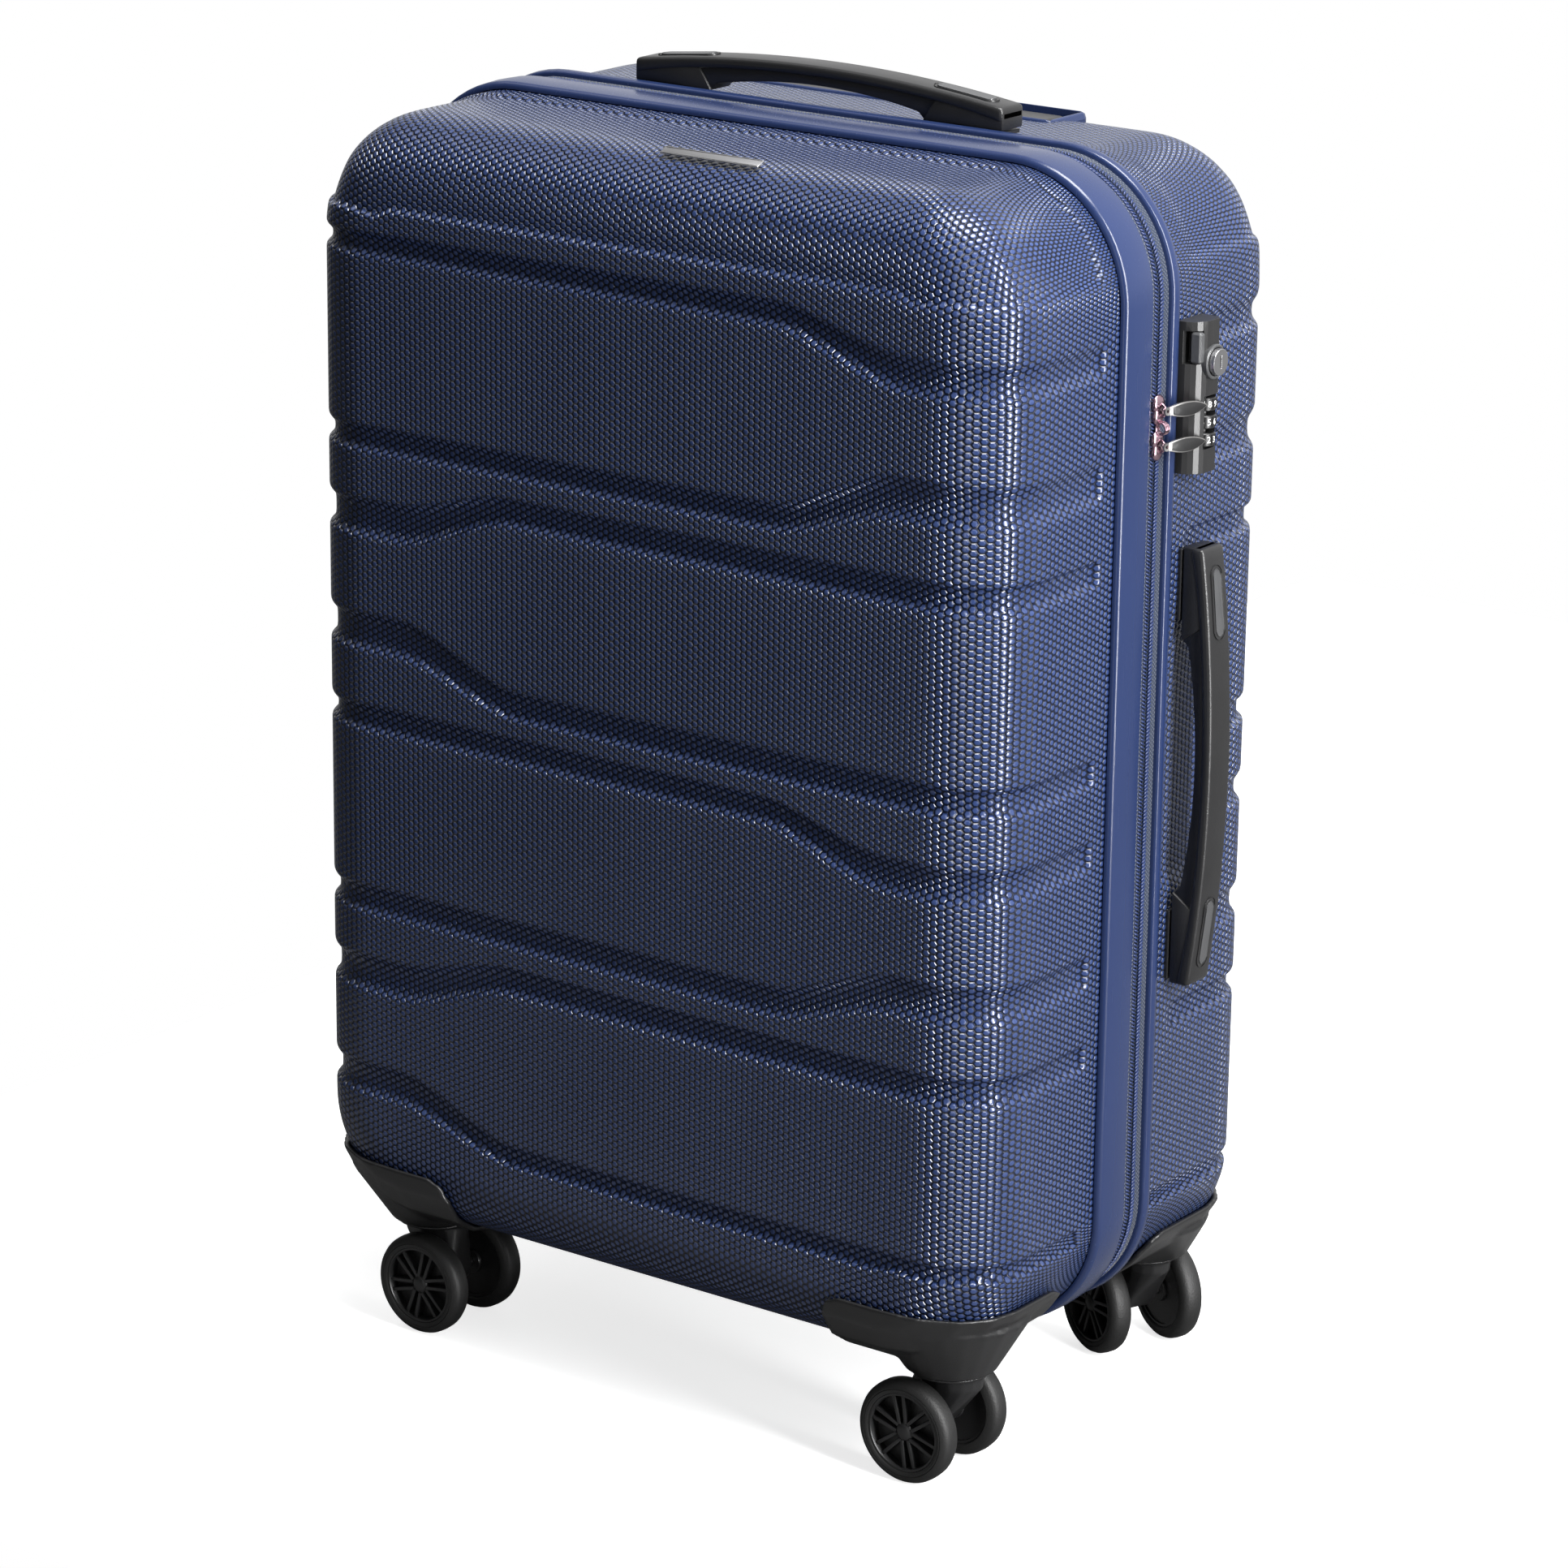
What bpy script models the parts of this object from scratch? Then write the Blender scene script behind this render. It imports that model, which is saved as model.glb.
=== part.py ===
"""Hard shell suitcase on four double spinner wheels. Metres, +Z up, -Y is the front, +X the lock side."""

import math

import bmesh
import bpy
from mathutils import Matrix, Vector

# Driving dimensions.
HALF_WIDTH = 0.2200
BOTTOM = 0.0680
TOP = 0.6700
FRONT = -0.0994
BACK = 0.1561
CORNER = 0.0650
FRONT_EDGE = 0.0400
BACK_EDGE = 0.0360
SHELL_WALL = 0.0025
LINING_WALL = 0.0012
LINING_GAP = 0.0006
LINING_BACK = 0.1110
LINING_EDGE = 0.0120
GAP = 0.0003

# The seam between the halves, from front to back along Y.
FRONT_RIM = (0.0, 0.0250)
FRONT_TAPE = (0.0253, 0.0332)
REAR_TAPE = (0.0336, 0.0417)
REAR_SHELL_MOUTH = 0.0420
REAR_RIM = (0.0423, 0.0495)
RIM_PROUD = 0.0050
RIM_WALL = 0.0044
TAPE_WALL = 0.0016
SEAM = (FRONT_TAPE[1] + REAR_TAPE[0]) / 2
HINGE_X = -0.2262
HINGE_BEAD = 0.0018

# Casters.
WHEEL_RADIUS = 0.0280
WHEEL_WIDTH = 0.0130
WHEEL_TRACK = 0.0450
TRAIL = 0.0100
PIN_RADIUS = 0.0025
PIN_HALF = 0.0235
FORK_TOP = 0.0586
FORK_DISC = 0.0018
FORK_DISC_RADIUS = 0.0215
FORK_HALF = 0.0130
STEM_RADIUS = 0.0060
STEM_TOP = 0.0630
GUARD_TOP = 0.1030
GUARD_INNER = 0.1220
GUARD_WALL = 0.0030
GUARD_GAP = 0.0009
# name: swivel axis x and y, then the direction in which its wheels trail, in degrees from +X.
CASTERS = {
    "front_left": (-0.170, -0.051, 0.0),
    "front_right": (0.170, -0.051, 180.0),
    "rear_left": (-0.162, 0.144, 15.0),
    "rear_right": (0.162, 0.144, 155.0),
}
COLLAR_RADIUS = 0.0240
FUNNEL_RADIUS = 0.0440
FUNNEL_TOP = 0.0920
FUNNEL_X = 0.1700
FUNNEL_Y = {True: -0.0540, False: 0.1130}
GUARD_END_FRONT = -0.0150
GUARD_END_REAR = 0.0640

# Carry handles: half length, width, arch heights over the shell, and how far they lift.
HANDLE_HALF = 0.1150
HANDLE_WIDTH = 0.0200
HANDLE_ARCH = 0.0235
HANDLE_END = 0.0150
HANDLE_BLOCK = 0.0640
POST_AT = 0.0950
TOP_HANDLE_Y = 0.0605
SIDE_HANDLE_Y = 0.0700
SIDE_HANDLE_Z = 0.3610

# Trolley handle.
TUBE_X = 0.0820
TUBE_Y = 0.1310
TUBE_WALL = 0.0012
# The drawn tubes: half width, half depth, foot and top.
OUTER_TUBE = (0.0080, 0.0110, 0.118)
MIDDLE_TUBE = (0.0065, 0.0095, 0.128, 0.633)
INNER_TUBE = (0.0050, 0.0080, 0.138, 0.6405)
TUBE_FOOT = (0.013, 0.014, 0.098, 0.1177)
GRIP_HALF = 0.0970
GRIP_DEPTH = 0.0120
GRIP_Z = (0.6450, 0.6665)
BUTTON_HALF = (0.0140, 0.0070)
BUTTON_Z = (0.6550, 0.6685)
CUP_FLOOR = 0.6260
CUP_TOP = 0.6695
CUP_HALF = 0.1040
CUP_Y = (0.1123, 0.1480)

# Combination lock on the right wall of the rear half.
LOCK_Y = (0.0530, 0.0745)
LOCK_Z = (0.5150, 0.5920)
LOCK_FACE = 0.2330
LOCK_FLANK = 0.2220
LOCK_FLANK_RADIUS = LOCK_FACE - LOCK_FLANK
LOCK_BUTTON_Y = (0.0545, 0.0588)
LOCK_BUTTON_Z = (0.5711, 0.5869)
LOCK_BUTTON_FOOT = 0.2266
DIAL_Z = (0.5315, 0.5405, 0.5495)
DIAL_CENTRE = (0.2286, 0.0670)
DIAL_RADIUS = 0.0058
DIAL_HALF = 0.0033
KEY_CENTRE = (0.0668, 0.5710)
KEY_RADIUS = 0.0068
KEY_FOOT = 0.2280

# Zip sliders.
SLIDER_Z = {"upper": 0.5510, "lower": 0.5330}
SLIDER_X = (0.2204, 0.2258)
SLIDER_HALF_Y = 0.0042
SLIDER_HALF_Z = 0.0066
PULL_PIVOT = (0.2280, SEAM)
PULL_TIP = (0.2352, 0.0585)

# Where the case's own centre sits, so that the whole object's box is centred on the origin.
CASE_X = -0.00775
CASE_Y = -0.04138

# Facet angles of the case's corners and of its face edges, for the outside and for the linings.
FINE = ((15.0, 30.0, 45.0), (22.5, 45.0))
COARSE = ((22.5, 45.0), (45.0,))

parts = bpy.data.collections.new("suitcase")
cutters = bpy.data.collections.new("cutters")


def material(name, colour, roughness, metallic=0.0):
    made = bpy.data.materials.new(name)
    made.use_nodes = True
    shader = made.node_tree.nodes["Principled BSDF"]
    shader.inputs["Base Color"].default_value = (*colour, 1.0)
    shader.inputs["Roughness"].default_value = roughness
    shader.inputs["Metallic"].default_value = metallic
    made.diffuse_color = (*colour, 1.0)
    return made


def mesh_object(name, mesh, finish, pivot=(0.0, 0.0, 0.0)):
    """A named part whose origin is at its pivot, with the mesh given in the case's own coordinates."""
    mesh.transform(Matrix.Translation(-Vector(pivot)))
    made = bpy.data.objects.new(name, mesh)
    made.location = pivot
    made.parent = case
    parts.objects.link(made)
    made.data.materials.append(finish)
    return made


def cutter_object(name, mesh):
    made = bpy.data.objects.new(name, mesh)
    made.parent = case
    made.hide_render = True
    made.display_type = "WIRE"
    cutters.objects.link(made)
    return made


def boolean(target, tool, operation):
    step = target.modifiers.new(f"{operation.lower()}_{tool.name}", "BOOLEAN")
    step.operation = operation
    step.object = tool


def bevelled(target, width, segments=2, angle=40.0):
    step = target.modifiers.new("rounded_edges", "BEVEL")
    step.width = width
    step.segments = segments
    step.limit_method = "ANGLE"
    step.angle_limit = math.radians(angle)
    return target


def to_mesh(bm, name):
    mesh = bpy.data.meshes.new(name)
    bm.to_mesh(mesh)
    bm.free()
    return mesh


def box_bm(low, high):
    bm = bmesh.new()
    bmesh.ops.create_cube(bm, size=1.0)
    size = [b - a for a, b in zip(low, high)]
    middle = [(a + b) / 2 for a, b in zip(low, high)]
    bmesh.ops.scale(bm, vec=size, verts=bm.verts)
    bmesh.ops.translate(bm, vec=middle, verts=bm.verts)
    return bm


def box(name, low, high):
    return to_mesh(box_bm(low, high), name)


def cylinder(name, start, axis, length, radius, end_radius=None, segments=20):
    """A closed cylinder or cone from start, length along axis."""
    bm = bmesh.new()
    far = radius if end_radius is None else end_radius
    bmesh.ops.create_cone(bm, cap_ends=True, segments=segments, radius1=radius, radius2=far, depth=length)
    bmesh.ops.translate(bm, vec=(0, 0, length / 2), verts=bm.verts)
    turn = Vector((0, 0, 1)).rotation_difference(Vector(axis)).to_matrix().to_4x4()
    bmesh.ops.transform(bm, matrix=Matrix.Translation(start) @ turn, verts=bm.verts)
    return to_mesh(bm, name)


def prism(name, outline, half, frame):
    """A flat outline, thickened to both sides, then placed by a frame whose Z is the thickness."""
    bm = bmesh.new()
    face = bm.faces.new([bm.verts.new((u, v, -half)) for u, v in outline])
    raised = bmesh.ops.extrude_face_region(bm, geom=[face])
    top = [item for item in raised["geom"] if isinstance(item, bmesh.types.BMVert)]
    bmesh.ops.translate(bm, vec=(0, 0, 2 * half), verts=top)
    bmesh.ops.transform(bm, matrix=frame, verts=bm.verts)
    bmesh.ops.recalc_face_normals(bm, faces=bm.faces)
    return to_mesh(bm, name)


def rounded_point(point, half_width, low, high, face, inward, corner, edge):
    """Moves a point of a sharp five-sided tub to the same tub with round corners and a round face edge."""
    x, y, z = point
    hold_x = max(-(half_width - corner), min(half_width - corner, x))
    hold_z = max(low + corner, min(high - corner, z))
    off = Vector((x - hold_x, z - hold_z))
    reach = max(abs(off.x), abs(off.y))
    if reach < 1e-9:
        return point
    inset = corner - reach
    depth = abs(y - face)
    if edge > 0 and inset < edge and depth < edge:
        a, b = edge - inset, edge - depth
        long = math.hypot(a, b)
        inset = edge - edge * a / long
        depth = edge - edge * b / long
    off = off.normalized() * (corner - inset)
    return Vector((hold_x + off.x, face + inward * depth, hold_z + off.y))


def arc_steps(radius, angles):
    """Distances in from a sharp edge that land on a round one at these angles."""
    return [radius] + [radius * (1 - math.tan(math.radians(a))) for a in angles[:-1]]


def stations(low, high, corner, edge, facets):
    """Cut lines along one side of the tub: through its corners and through its rounded face edge."""
    steps = set(arc_steps(corner, facets[0]))
    if edge > 0:
        steps |= set(arc_steps(edge, facets[1]))
    kept = []
    for step in sorted(steps):
        if not kept or step - kept[-1] > 0.002:
            kept.append(step)
    return [low + step for step in kept] + [high - step for step in kept]


def tub(name, grow, mouth, face, edge, closed=False, face_open=False, facets=FINE):
    """The case's rounded tub, grown by a distance: walls from the mouth to the face, open at the mouth."""
    half_width = HALF_WIDTH + grow
    low, high = BOTTOM - grow, TOP + grow
    corner = CORNER + grow
    inward = 1.0 if mouth > face else -1.0
    bm = box_bm((-half_width, min(mouth, face), low), (half_width, max(mouth, face), high))
    drop = [f for f in bm.faces if abs(f.calc_center_median().y - mouth) < 1e-6 and not closed]
    drop += [f for f in bm.faces if abs(f.calc_center_median().y - face) < 1e-6 and face_open]
    bmesh.ops.delete(bm, geom=drop, context="FACES_ONLY")
    cuts = [((x, 0, 0), (1, 0, 0)) for x in stations(-half_width, half_width, corner, edge, facets)]
    cuts += [((0, 0, z), (0, 0, 1)) for z in stations(low, high, corner, edge, facets)]
    if edge > 0:
        cuts += [((0, face + inward * d, 0), (0, 1, 0)) for d in arc_steps(edge, facets[1])]
    for at, normal in cuts:
        everything = bm.verts[:] + bm.edges[:] + bm.faces[:]
        bmesh.ops.bisect_plane(bm, geom=everything, dist=1e-7, plane_co=at, plane_no=normal)
    for vert in bm.verts:
        vert.co = rounded_point(vert.co, half_width, low, high, face, inward, corner, edge)
    bmesh.ops.recalc_face_normals(bm, faces=bm.faces)
    return to_mesh(bm, name)


def thickened(target, wall):
    step = target.modifiers.new("wall", "SOLIDIFY")
    step.thickness = wall
    step.offset = -1.0
    step.use_even_offset = True
    return target


def outward(mesh):
    """Turns an open tub or band so that its faces point away from the case's middle."""
    bm = bmesh.new()
    bm.from_mesh(mesh)
    middle = Vector((0.0, (FRONT + BACK) / 2, (BOTTOM + TOP) / 2))
    score = sum((f.calc_center_median() - middle).dot(f.normal) * f.calc_area() for f in bm.faces)
    if score < 0:
        bmesh.ops.reverse_faces(bm, faces=bm.faces)
    bm.to_mesh(mesh)
    bm.free()
    return mesh


def smooth(target, angle=30.0):
    target.data.shade_smooth()
    target.data.set_sharp_from_angle(angle=math.radians(angle))
    return target


def front_shell():
    mesh = outward(tub("front_shell", 0.0, FRONT_RIM[1], FRONT, FRONT_EDGE))
    return smooth(thickened(mesh_object("front_shell", mesh, navy), SHELL_WALL))


def rear_shell():
    mesh = outward(tub("rear_shell", 0.0, REAR_SHELL_MOUTH, BACK, BACK_EDGE))
    shell = smooth(thickened(mesh_object("rear_shell", mesh, navy), SHELL_WALL))
    room = (CUP_HALF + 0.0004, CUP_Y[0] - 0.0004, CUP_Y[1] + 0.0004)
    hole = box("trolley_hole", (-room[0], room[1], CUP_FLOOR - 0.004), (room[0], room[2], TOP + 0.02))
    boolean(shell, cutter_object("trolley_hole", hole), "DIFFERENCE")
    return shell


def band(name, grow, span, wall, finish):
    """A flat ring that follows the case's outline, between two depths."""
    mesh = outward(tub(name, grow, span[1], span[0], 0.0, face_open=True))
    return smooth(thickened(mesh_object(name, mesh, finish), wall))


def seam_bands():
    band("front_rim", RIM_PROUD, FRONT_RIM, RIM_WALL, rim_blue)
    band("rear_rim", RIM_PROUD, REAR_RIM, RIM_WALL, rim_blue)
    band("front_zip_tape", 0.0, FRONT_TAPE, TAPE_WALL, tape_blue)
    band("rear_zip_tape", 0.0, REAR_TAPE, TAPE_WALL, tape_blue)


def linings():
    shrink = -(SHELL_WALL + LINING_GAP)
    front_mouth = FRONT_RIM[1] - 0.001
    front = tub("front_lining", shrink, front_mouth, FRONT - shrink, FRONT_EDGE + shrink, facets=COARSE)
    thickened(mesh_object("front_lining", outward(front), lining_grey), LINING_WALL)
    rear = tub("rear_lining", shrink, REAR_SHELL_MOUTH + 0.001, LINING_BACK, LINING_EDGE, facets=COARSE)
    thickened(mesh_object("rear_lining", outward(rear), lining_grey), LINING_WALL)


def hinge_tape():
    """A bead of rolled fabric on the opening axis, and the leaf that joins it to the rear half's tape."""
    low, high = 0.170, 0.570
    bead = cylinder("hinge_tape", (HINGE_X, SEAM, low), (0, 0, 1), high - low, HINGE_BEAD, segments=12)
    tape = mesh_object("hinge_tape", bead, tape_blue)
    leaf = box("hinge_leaf", (HINGE_X, SEAM - 0.0006, low), (-HALF_WIDTH - GAP, SEAM + 0.0010, high))
    boolean(tape, cutter_object("hinge_leaf", leaf), "UNION")


def packing_straps():
    """Two elastic straps that cross the rear half and meet at a buckle."""
    lay = Matrix(((1, 0, 0, 0), (0, 0, 1, 0.0475), (0, 1, 0, 0.369), (0, 0, 0, 1)))
    wide = 0.012
    for side, name in ((-1, "left"), (1, "right")):
        far, near = 0.2120 * side, 0.0260 * side
        outline = [(far, 0.190), (far, 0.190 - 2 * wide), (near + 0.03 * side, 0.0)]
        outline += [(far, -0.190 + 2 * wide), (far, -0.190), (near, -wide), (near, wide)]
        mesh = prism("strap", outline, 0.0008, lay)
        mesh_object(f"packing_strap_{name}", mesh, strap_black)
    block = box("buckle", (-0.0255, 0.0435, 0.351), (0.0255, 0.0520, 0.387))
    buckle = mesh_object("strap_buckle", block, black)
    bevelled(buckle, 0.0025)


def name_plate():
    """A thin plain strip on the rounded front edge of the top."""
    drop = math.radians(-22.0)
    middle = Vector((0.028, -0.0735, 0.6685))
    frame = Matrix.Translation(middle) @ Matrix.Rotation(-drop, 4, "X")
    bm = box_bm((-0.030, -0.0032, -0.0004), (0.030, 0.0032, 0.0005))
    bmesh.ops.transform(bm, matrix=frame, verts=bm.verts)
    mesh_object("name_plate", to_mesh(bm, "name_plate"), steel)


def direction(degrees):
    turn = math.radians(degrees)
    return Vector((math.cos(turn), math.sin(turn), 0.0))


def hull_mesh(name, points):
    bm = bmesh.new()
    for point in points:
        bm.verts.new(point)
    hull = bmesh.ops.convex_hull(bm, input=bm.verts)
    spare = [item for item in hull["geom_interior"] if isinstance(item, bmesh.types.BMVert)]
    bmesh.ops.delete(bm, geom=spare, context="VERTS")
    bmesh.ops.recalc_face_normals(bm, faces=bm.faces)
    return to_mesh(bm, name)


def funnel(x, y, front):
    """The taper from the round collar over the fork up to the case's corner."""
    points = []
    for step in range(24):
        turn = direction(step * 15.0)
        points.append(Vector((x, y, FORK_TOP + 0.0006)) + turn * COLLAR_RADIUS)
        wide = Vector((math.copysign(FUNNEL_X, x), FUNNEL_Y[front], FUNNEL_TOP))
        points.append(wide + turn * FUNNEL_RADIUS)
    return hull_mesh("funnel", points)


def corner_guard(name, x, y):
    """A moulded cover of the case's lower corner, with the caster's collar below it."""
    front = y < SEAM
    face = FRONT if front else BACK
    mouth = 0.02 if front else 0.046
    edge = FRONT_EDGE if front else BACK_EDGE
    out = GUARD_GAP + GUARD_WALL
    push = -1.0 if front else 1.0
    outer = tub(f"{name}_skin", out, mouth, face + push * out, edge + out, closed=True)
    guard = mesh_object(f"{name}_guard", outer, black)
    span = (face + push * 0.02, GUARD_END_FRONT if front else GUARD_END_REAR)
    sides = sorted((math.copysign(GUARD_INNER, x), math.copysign(HALF_WIDTH + 0.02, x)))
    region = box(f"{name}_region", (sides[0], min(span), 0.04), (sides[1], max(span), GUARD_TOP))
    region_tool = cutter_object(f"{name}_region", region)
    bevelled(region_tool, 0.012, 2)
    boolean(guard, region_tool, "INTERSECT")
    boolean(guard, cutter_object(f"{name}_funnel", funnel(x, y, front)), "UNION")
    near = GUARD_GAP
    inner = tub(f"{name}_case", near, mouth - push * 0.01, face + push * near, edge + near, closed=True)
    boolean(guard, cutter_object(f"{name}_case", inner), "DIFFERENCE")
    bore = cylinder(f"{name}_bore", (x, y, 0.050), (0, 0, 1), STEM_TOP + 0.0006 - 0.050, STEM_RADIUS + GAP)
    boolean(guard, cutter_object(f"{name}_bore", bore), "DIFFERENCE")
    return smooth(guard)


def fork_mesh(x, y, trail):
    """The hull of the waist under the round top and of the boss round the wheels' pin."""
    along = direction(trail)
    across = Vector((-along.y, along.x, 0.0))
    middle = Vector((x, y, 0.0)) + along * TRAIL
    points = []
    under = FORK_TOP - FORK_DISC / 2
    for step in range(16):
        angle = math.radians(step * 22.5)
        waist = along * (0.0195 * math.cos(angle)) + across * (FORK_HALF * math.sin(angle))
        points.append(Vector((x, y, under)) + waist)
        points.append(Vector((x, y, under - 0.008)) + waist * 0.96)
    for end in (-1, 1):
        for step in range(10):
            angle = math.radians(step * 36.0)
            boss = along * (0.0075 * math.cos(angle)) + Vector((0, 0, 0.0075 * math.sin(angle)))
            points.append(middle + Vector((0, 0, WHEEL_RADIUS)) + boss + across * (end * FORK_HALF * 0.7))
    return hull_mesh("fork", points)


def wheel(name, centre, axis):
    """A turned tyre, web and hub with a blind bore on its inner side; axis points to the outer side."""
    half = WHEEL_WIDTH / 2
    rim = WHEEL_RADIUS - 0.0060
    hub = 0.0068
    bore = PIN_RADIUS + GAP
    points = [(0, half - 0.003), (rim, half - 0.003), (rim + 0.001, half), (WHEEL_RADIUS - 0.0025, half)]
    points += [(WHEEL_RADIUS, half - 0.0030), (WHEEL_RADIUS, -half + 0.0030)]
    points += [(WHEEL_RADIUS - 0.0025, -half)]
    points += [(rim, -half), (hub, -half + 0.003), (hub, -half), (bore, -half), (bore, half - 0.0048)]
    points += [(0, half - 0.0048)]
    bm = bmesh.new()
    profile = [bm.verts.new((r, 0, z)) for r, z in points]
    edges = [bm.edges.new(pair) for pair in zip(profile, profile[1:])]
    bmesh.ops.spin(
        bm, geom=profile + edges, cent=(0, 0, 0), axis=(0, 0, 1), angle=2 * math.pi, steps=18, use_merge=True
    )
    bmesh.ops.remove_doubles(bm, verts=bm.verts, dist=1e-6)
    bmesh.ops.recalc_face_normals(bm, faces=bm.faces)
    turn = Vector((0, 0, 1)).rotation_difference(axis).to_matrix().to_4x4()
    bmesh.ops.transform(bm, matrix=Matrix.Translation(centre) @ turn, verts=bm.verts)
    return smooth(mesh_object(name, to_mesh(bm, name), tyre_black, pivot=centre))


def caster(name, x, y, trail):
    corner_guard(name, x, y)
    along = direction(trail)
    across = Vector((-along.y, along.x, 0.0))
    hub = Vector((x, y, WHEEL_RADIUS)) + along * TRAIL
    fork = mesh_object(f"{name}_fork", fork_mesh(x, y, trail), black, pivot=(x, y, WHEEL_RADIUS))
    disc_foot = (x, y, FORK_TOP - FORK_DISC)
    disc = cylinder(f"{name}_disc", disc_foot, (0, 0, 1), FORK_DISC, FORK_DISC_RADIUS, segments=24)
    boolean(fork, cutter_object(f"{name}_disc", disc), "UNION")
    stem_foot = FORK_TOP - 0.004
    stem = cylinder(f"{name}_stem", (x, y, stem_foot), (0, 0, 1), STEM_TOP - stem_foot, STEM_RADIUS)
    boolean(fork, cutter_object(f"{name}_stem", stem), "UNION")
    bore = cylinder(f"{name}_pin_bore", hub - across * 0.03, across, 0.06, PIN_RADIUS + GAP, segments=12)
    boolean(fork, cutter_object(f"{name}_pin_bore", bore), "DIFFERENCE")
    pin = cylinder(f"{name}_pin", hub - across * PIN_HALF, across, 2 * PIN_HALF, PIN_RADIUS, segments=12)
    mesh_object(f"{name}_axle", pin, steel, pivot=hub)
    for side, end in (("a", -1), ("b", 1)):
        wheel(f"{name}_wheel_{side}", hub + across * (end * WHEEL_TRACK / 2), across * end)


def handle_outline():
    """Side view of a carry handle: u along it, v out from the shell."""
    def crown(u):
        return HANDLE_ARCH - (HANDLE_ARCH - HANDLE_END) * (u / HANDLE_HALF) ** 2

    def belly(u):
        return 0.0128 - 0.0060 * (u / HANDLE_BLOCK) ** 2

    over = [HANDLE_HALF * (1 - step / 7) for step in range(15)]
    under = [HANDLE_BLOCK * (step / 4 - 1) for step in range(9)]
    outline = [(HANDLE_HALF, 0.0028)] + [(u, crown(u)) for u in over] + [(-HANDLE_HALF, 0.0028)]
    outline += [(-HANDLE_BLOCK - 0.004, 0.0028)] + [(u, belly(u)) for u in under]
    return outline + [(HANDLE_BLOCK + 0.004, 0.0028)]


def carry_handle(name, frame):
    """frame takes u, v, w to the case: along the handle, out from the shell, and across the handle."""
    grip = mesh_object(f"{name}_grip", prism("grip", handle_outline(), HANDLE_WIDTH / 2, frame), black)
    bevelled(grip, 0.0025)
    for end, side in ((-1, "a"), (1, "b")):
        at = end * POST_AT
        room = box_bm((at - 0.0110, -0.002, -0.0063), (at + 0.0110, 0.0115, 0.0063))
        bmesh.ops.transform(room, matrix=frame, verts=room.verts)
        boolean(grip, cutter_object(f"{name}_room_{side}", to_mesh(room, "room")), "DIFFERENCE")
        base = box_bm((at - 0.0185, GAP, -0.0092), (at + 0.0185, 0.0024, 0.0092))
        bmesh.ops.transform(base, matrix=frame, verts=base.verts)
        post = mesh_object(f"{name}_post_{side}", to_mesh(base, "post"), black)
        stud = box_bm((at - 0.0090, 0.0012, -0.0045), (at + 0.0090, 0.0100, 0.0045))
        bmesh.ops.transform(stud, matrix=frame, verts=stud.verts)
        boolean(post, cutter_object(f"{name}_stud_{side}", to_mesh(stud, "stud")), "UNION")


def carry_handles():
    top = Matrix(((1, 0, 0, 0), (0, 0, -1, TOP_HANDLE_Y), (0, 1, 0, TOP), (0, 0, 0, 1)))
    side = Matrix(((0, 1, 0, HALF_WIDTH), (0, 0, 1, SIDE_HANDLE_Y), (1, 0, 0, SIDE_HANDLE_Z), (0, 0, 0, 1)))
    carry_handle("top_handle", top)
    carry_handle("side_handle", side)


def box_tube(name, x, half_x, half_y, low, high, finish):
    """A rectangular tube along Z, open at both ends."""
    first, last = (x - half_x, TUBE_Y - half_y, low), (x + half_x, TUBE_Y + half_y, high)
    tube = mesh_object(name, box(name, first, last), finish)
    thin = (half_x - TUBE_WALL, half_y - TUBE_WALL)
    first = (x - thin[0], TUBE_Y - thin[1], low - 0.01)
    last = (x + thin[0], TUBE_Y + thin[1], high + 0.01)
    inside = box(f"{name}_inside", first, last)
    boolean(tube, cutter_object(f"{name}_inside", inside), "DIFFERENCE")


def trolley_tubes():
    for side, x in (("left", -TUBE_X), ("right", TUBE_X)):
        box_tube(f"outer_tube_{side}", x, *OUTER_TUBE, CUP_FLOOR - 0.0005, aluminium)
        box_tube(f"middle_tube_{side}", x, *MIDDLE_TUBE, aluminium)
        box_tube(f"inner_tube_{side}", x, *INNER_TUBE, aluminium)
        half_x, half_y, low, high = TUBE_FOOT
        foot = box(f"tube_foot_{side}", (x - half_x, TUBE_Y - half_y, low), (x + half_x, TUBE_Y + half_y, high))
        bevelled(mesh_object(f"tube_foot_{side}", foot, black), 0.002, 1)


def trolley_cup():
    block = box("trolley_cup", (-CUP_HALF, CUP_Y[0], CUP_FLOOR), (CUP_HALF, CUP_Y[1], CUP_TOP))
    cup = mesh_object("trolley_cup", block, black)
    bevelled(cup, 0.004, 2)
    inset = 0.0025
    hollow = box(
        "cup_hollow",
        (-CUP_HALF + inset, CUP_Y[0] + inset, CUP_FLOOR + 0.005),
        (CUP_HALF - inset, CUP_Y[1] - inset, CUP_TOP + 0.01),
    )
    boolean(cup, cutter_object("cup_hollow", hollow), "DIFFERENCE")
    for side, x in (("left", -TUBE_X), ("right", TUBE_X)):
        hole = box(f"cup_hole_{side}", (x - 0.0072, TUBE_Y - 0.0102, 0.60), (x + 0.0072, TUBE_Y + 0.0102, 0.65))
        boolean(cup, cutter_object(f"cup_hole_{side}", hole), "DIFFERENCE")


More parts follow.
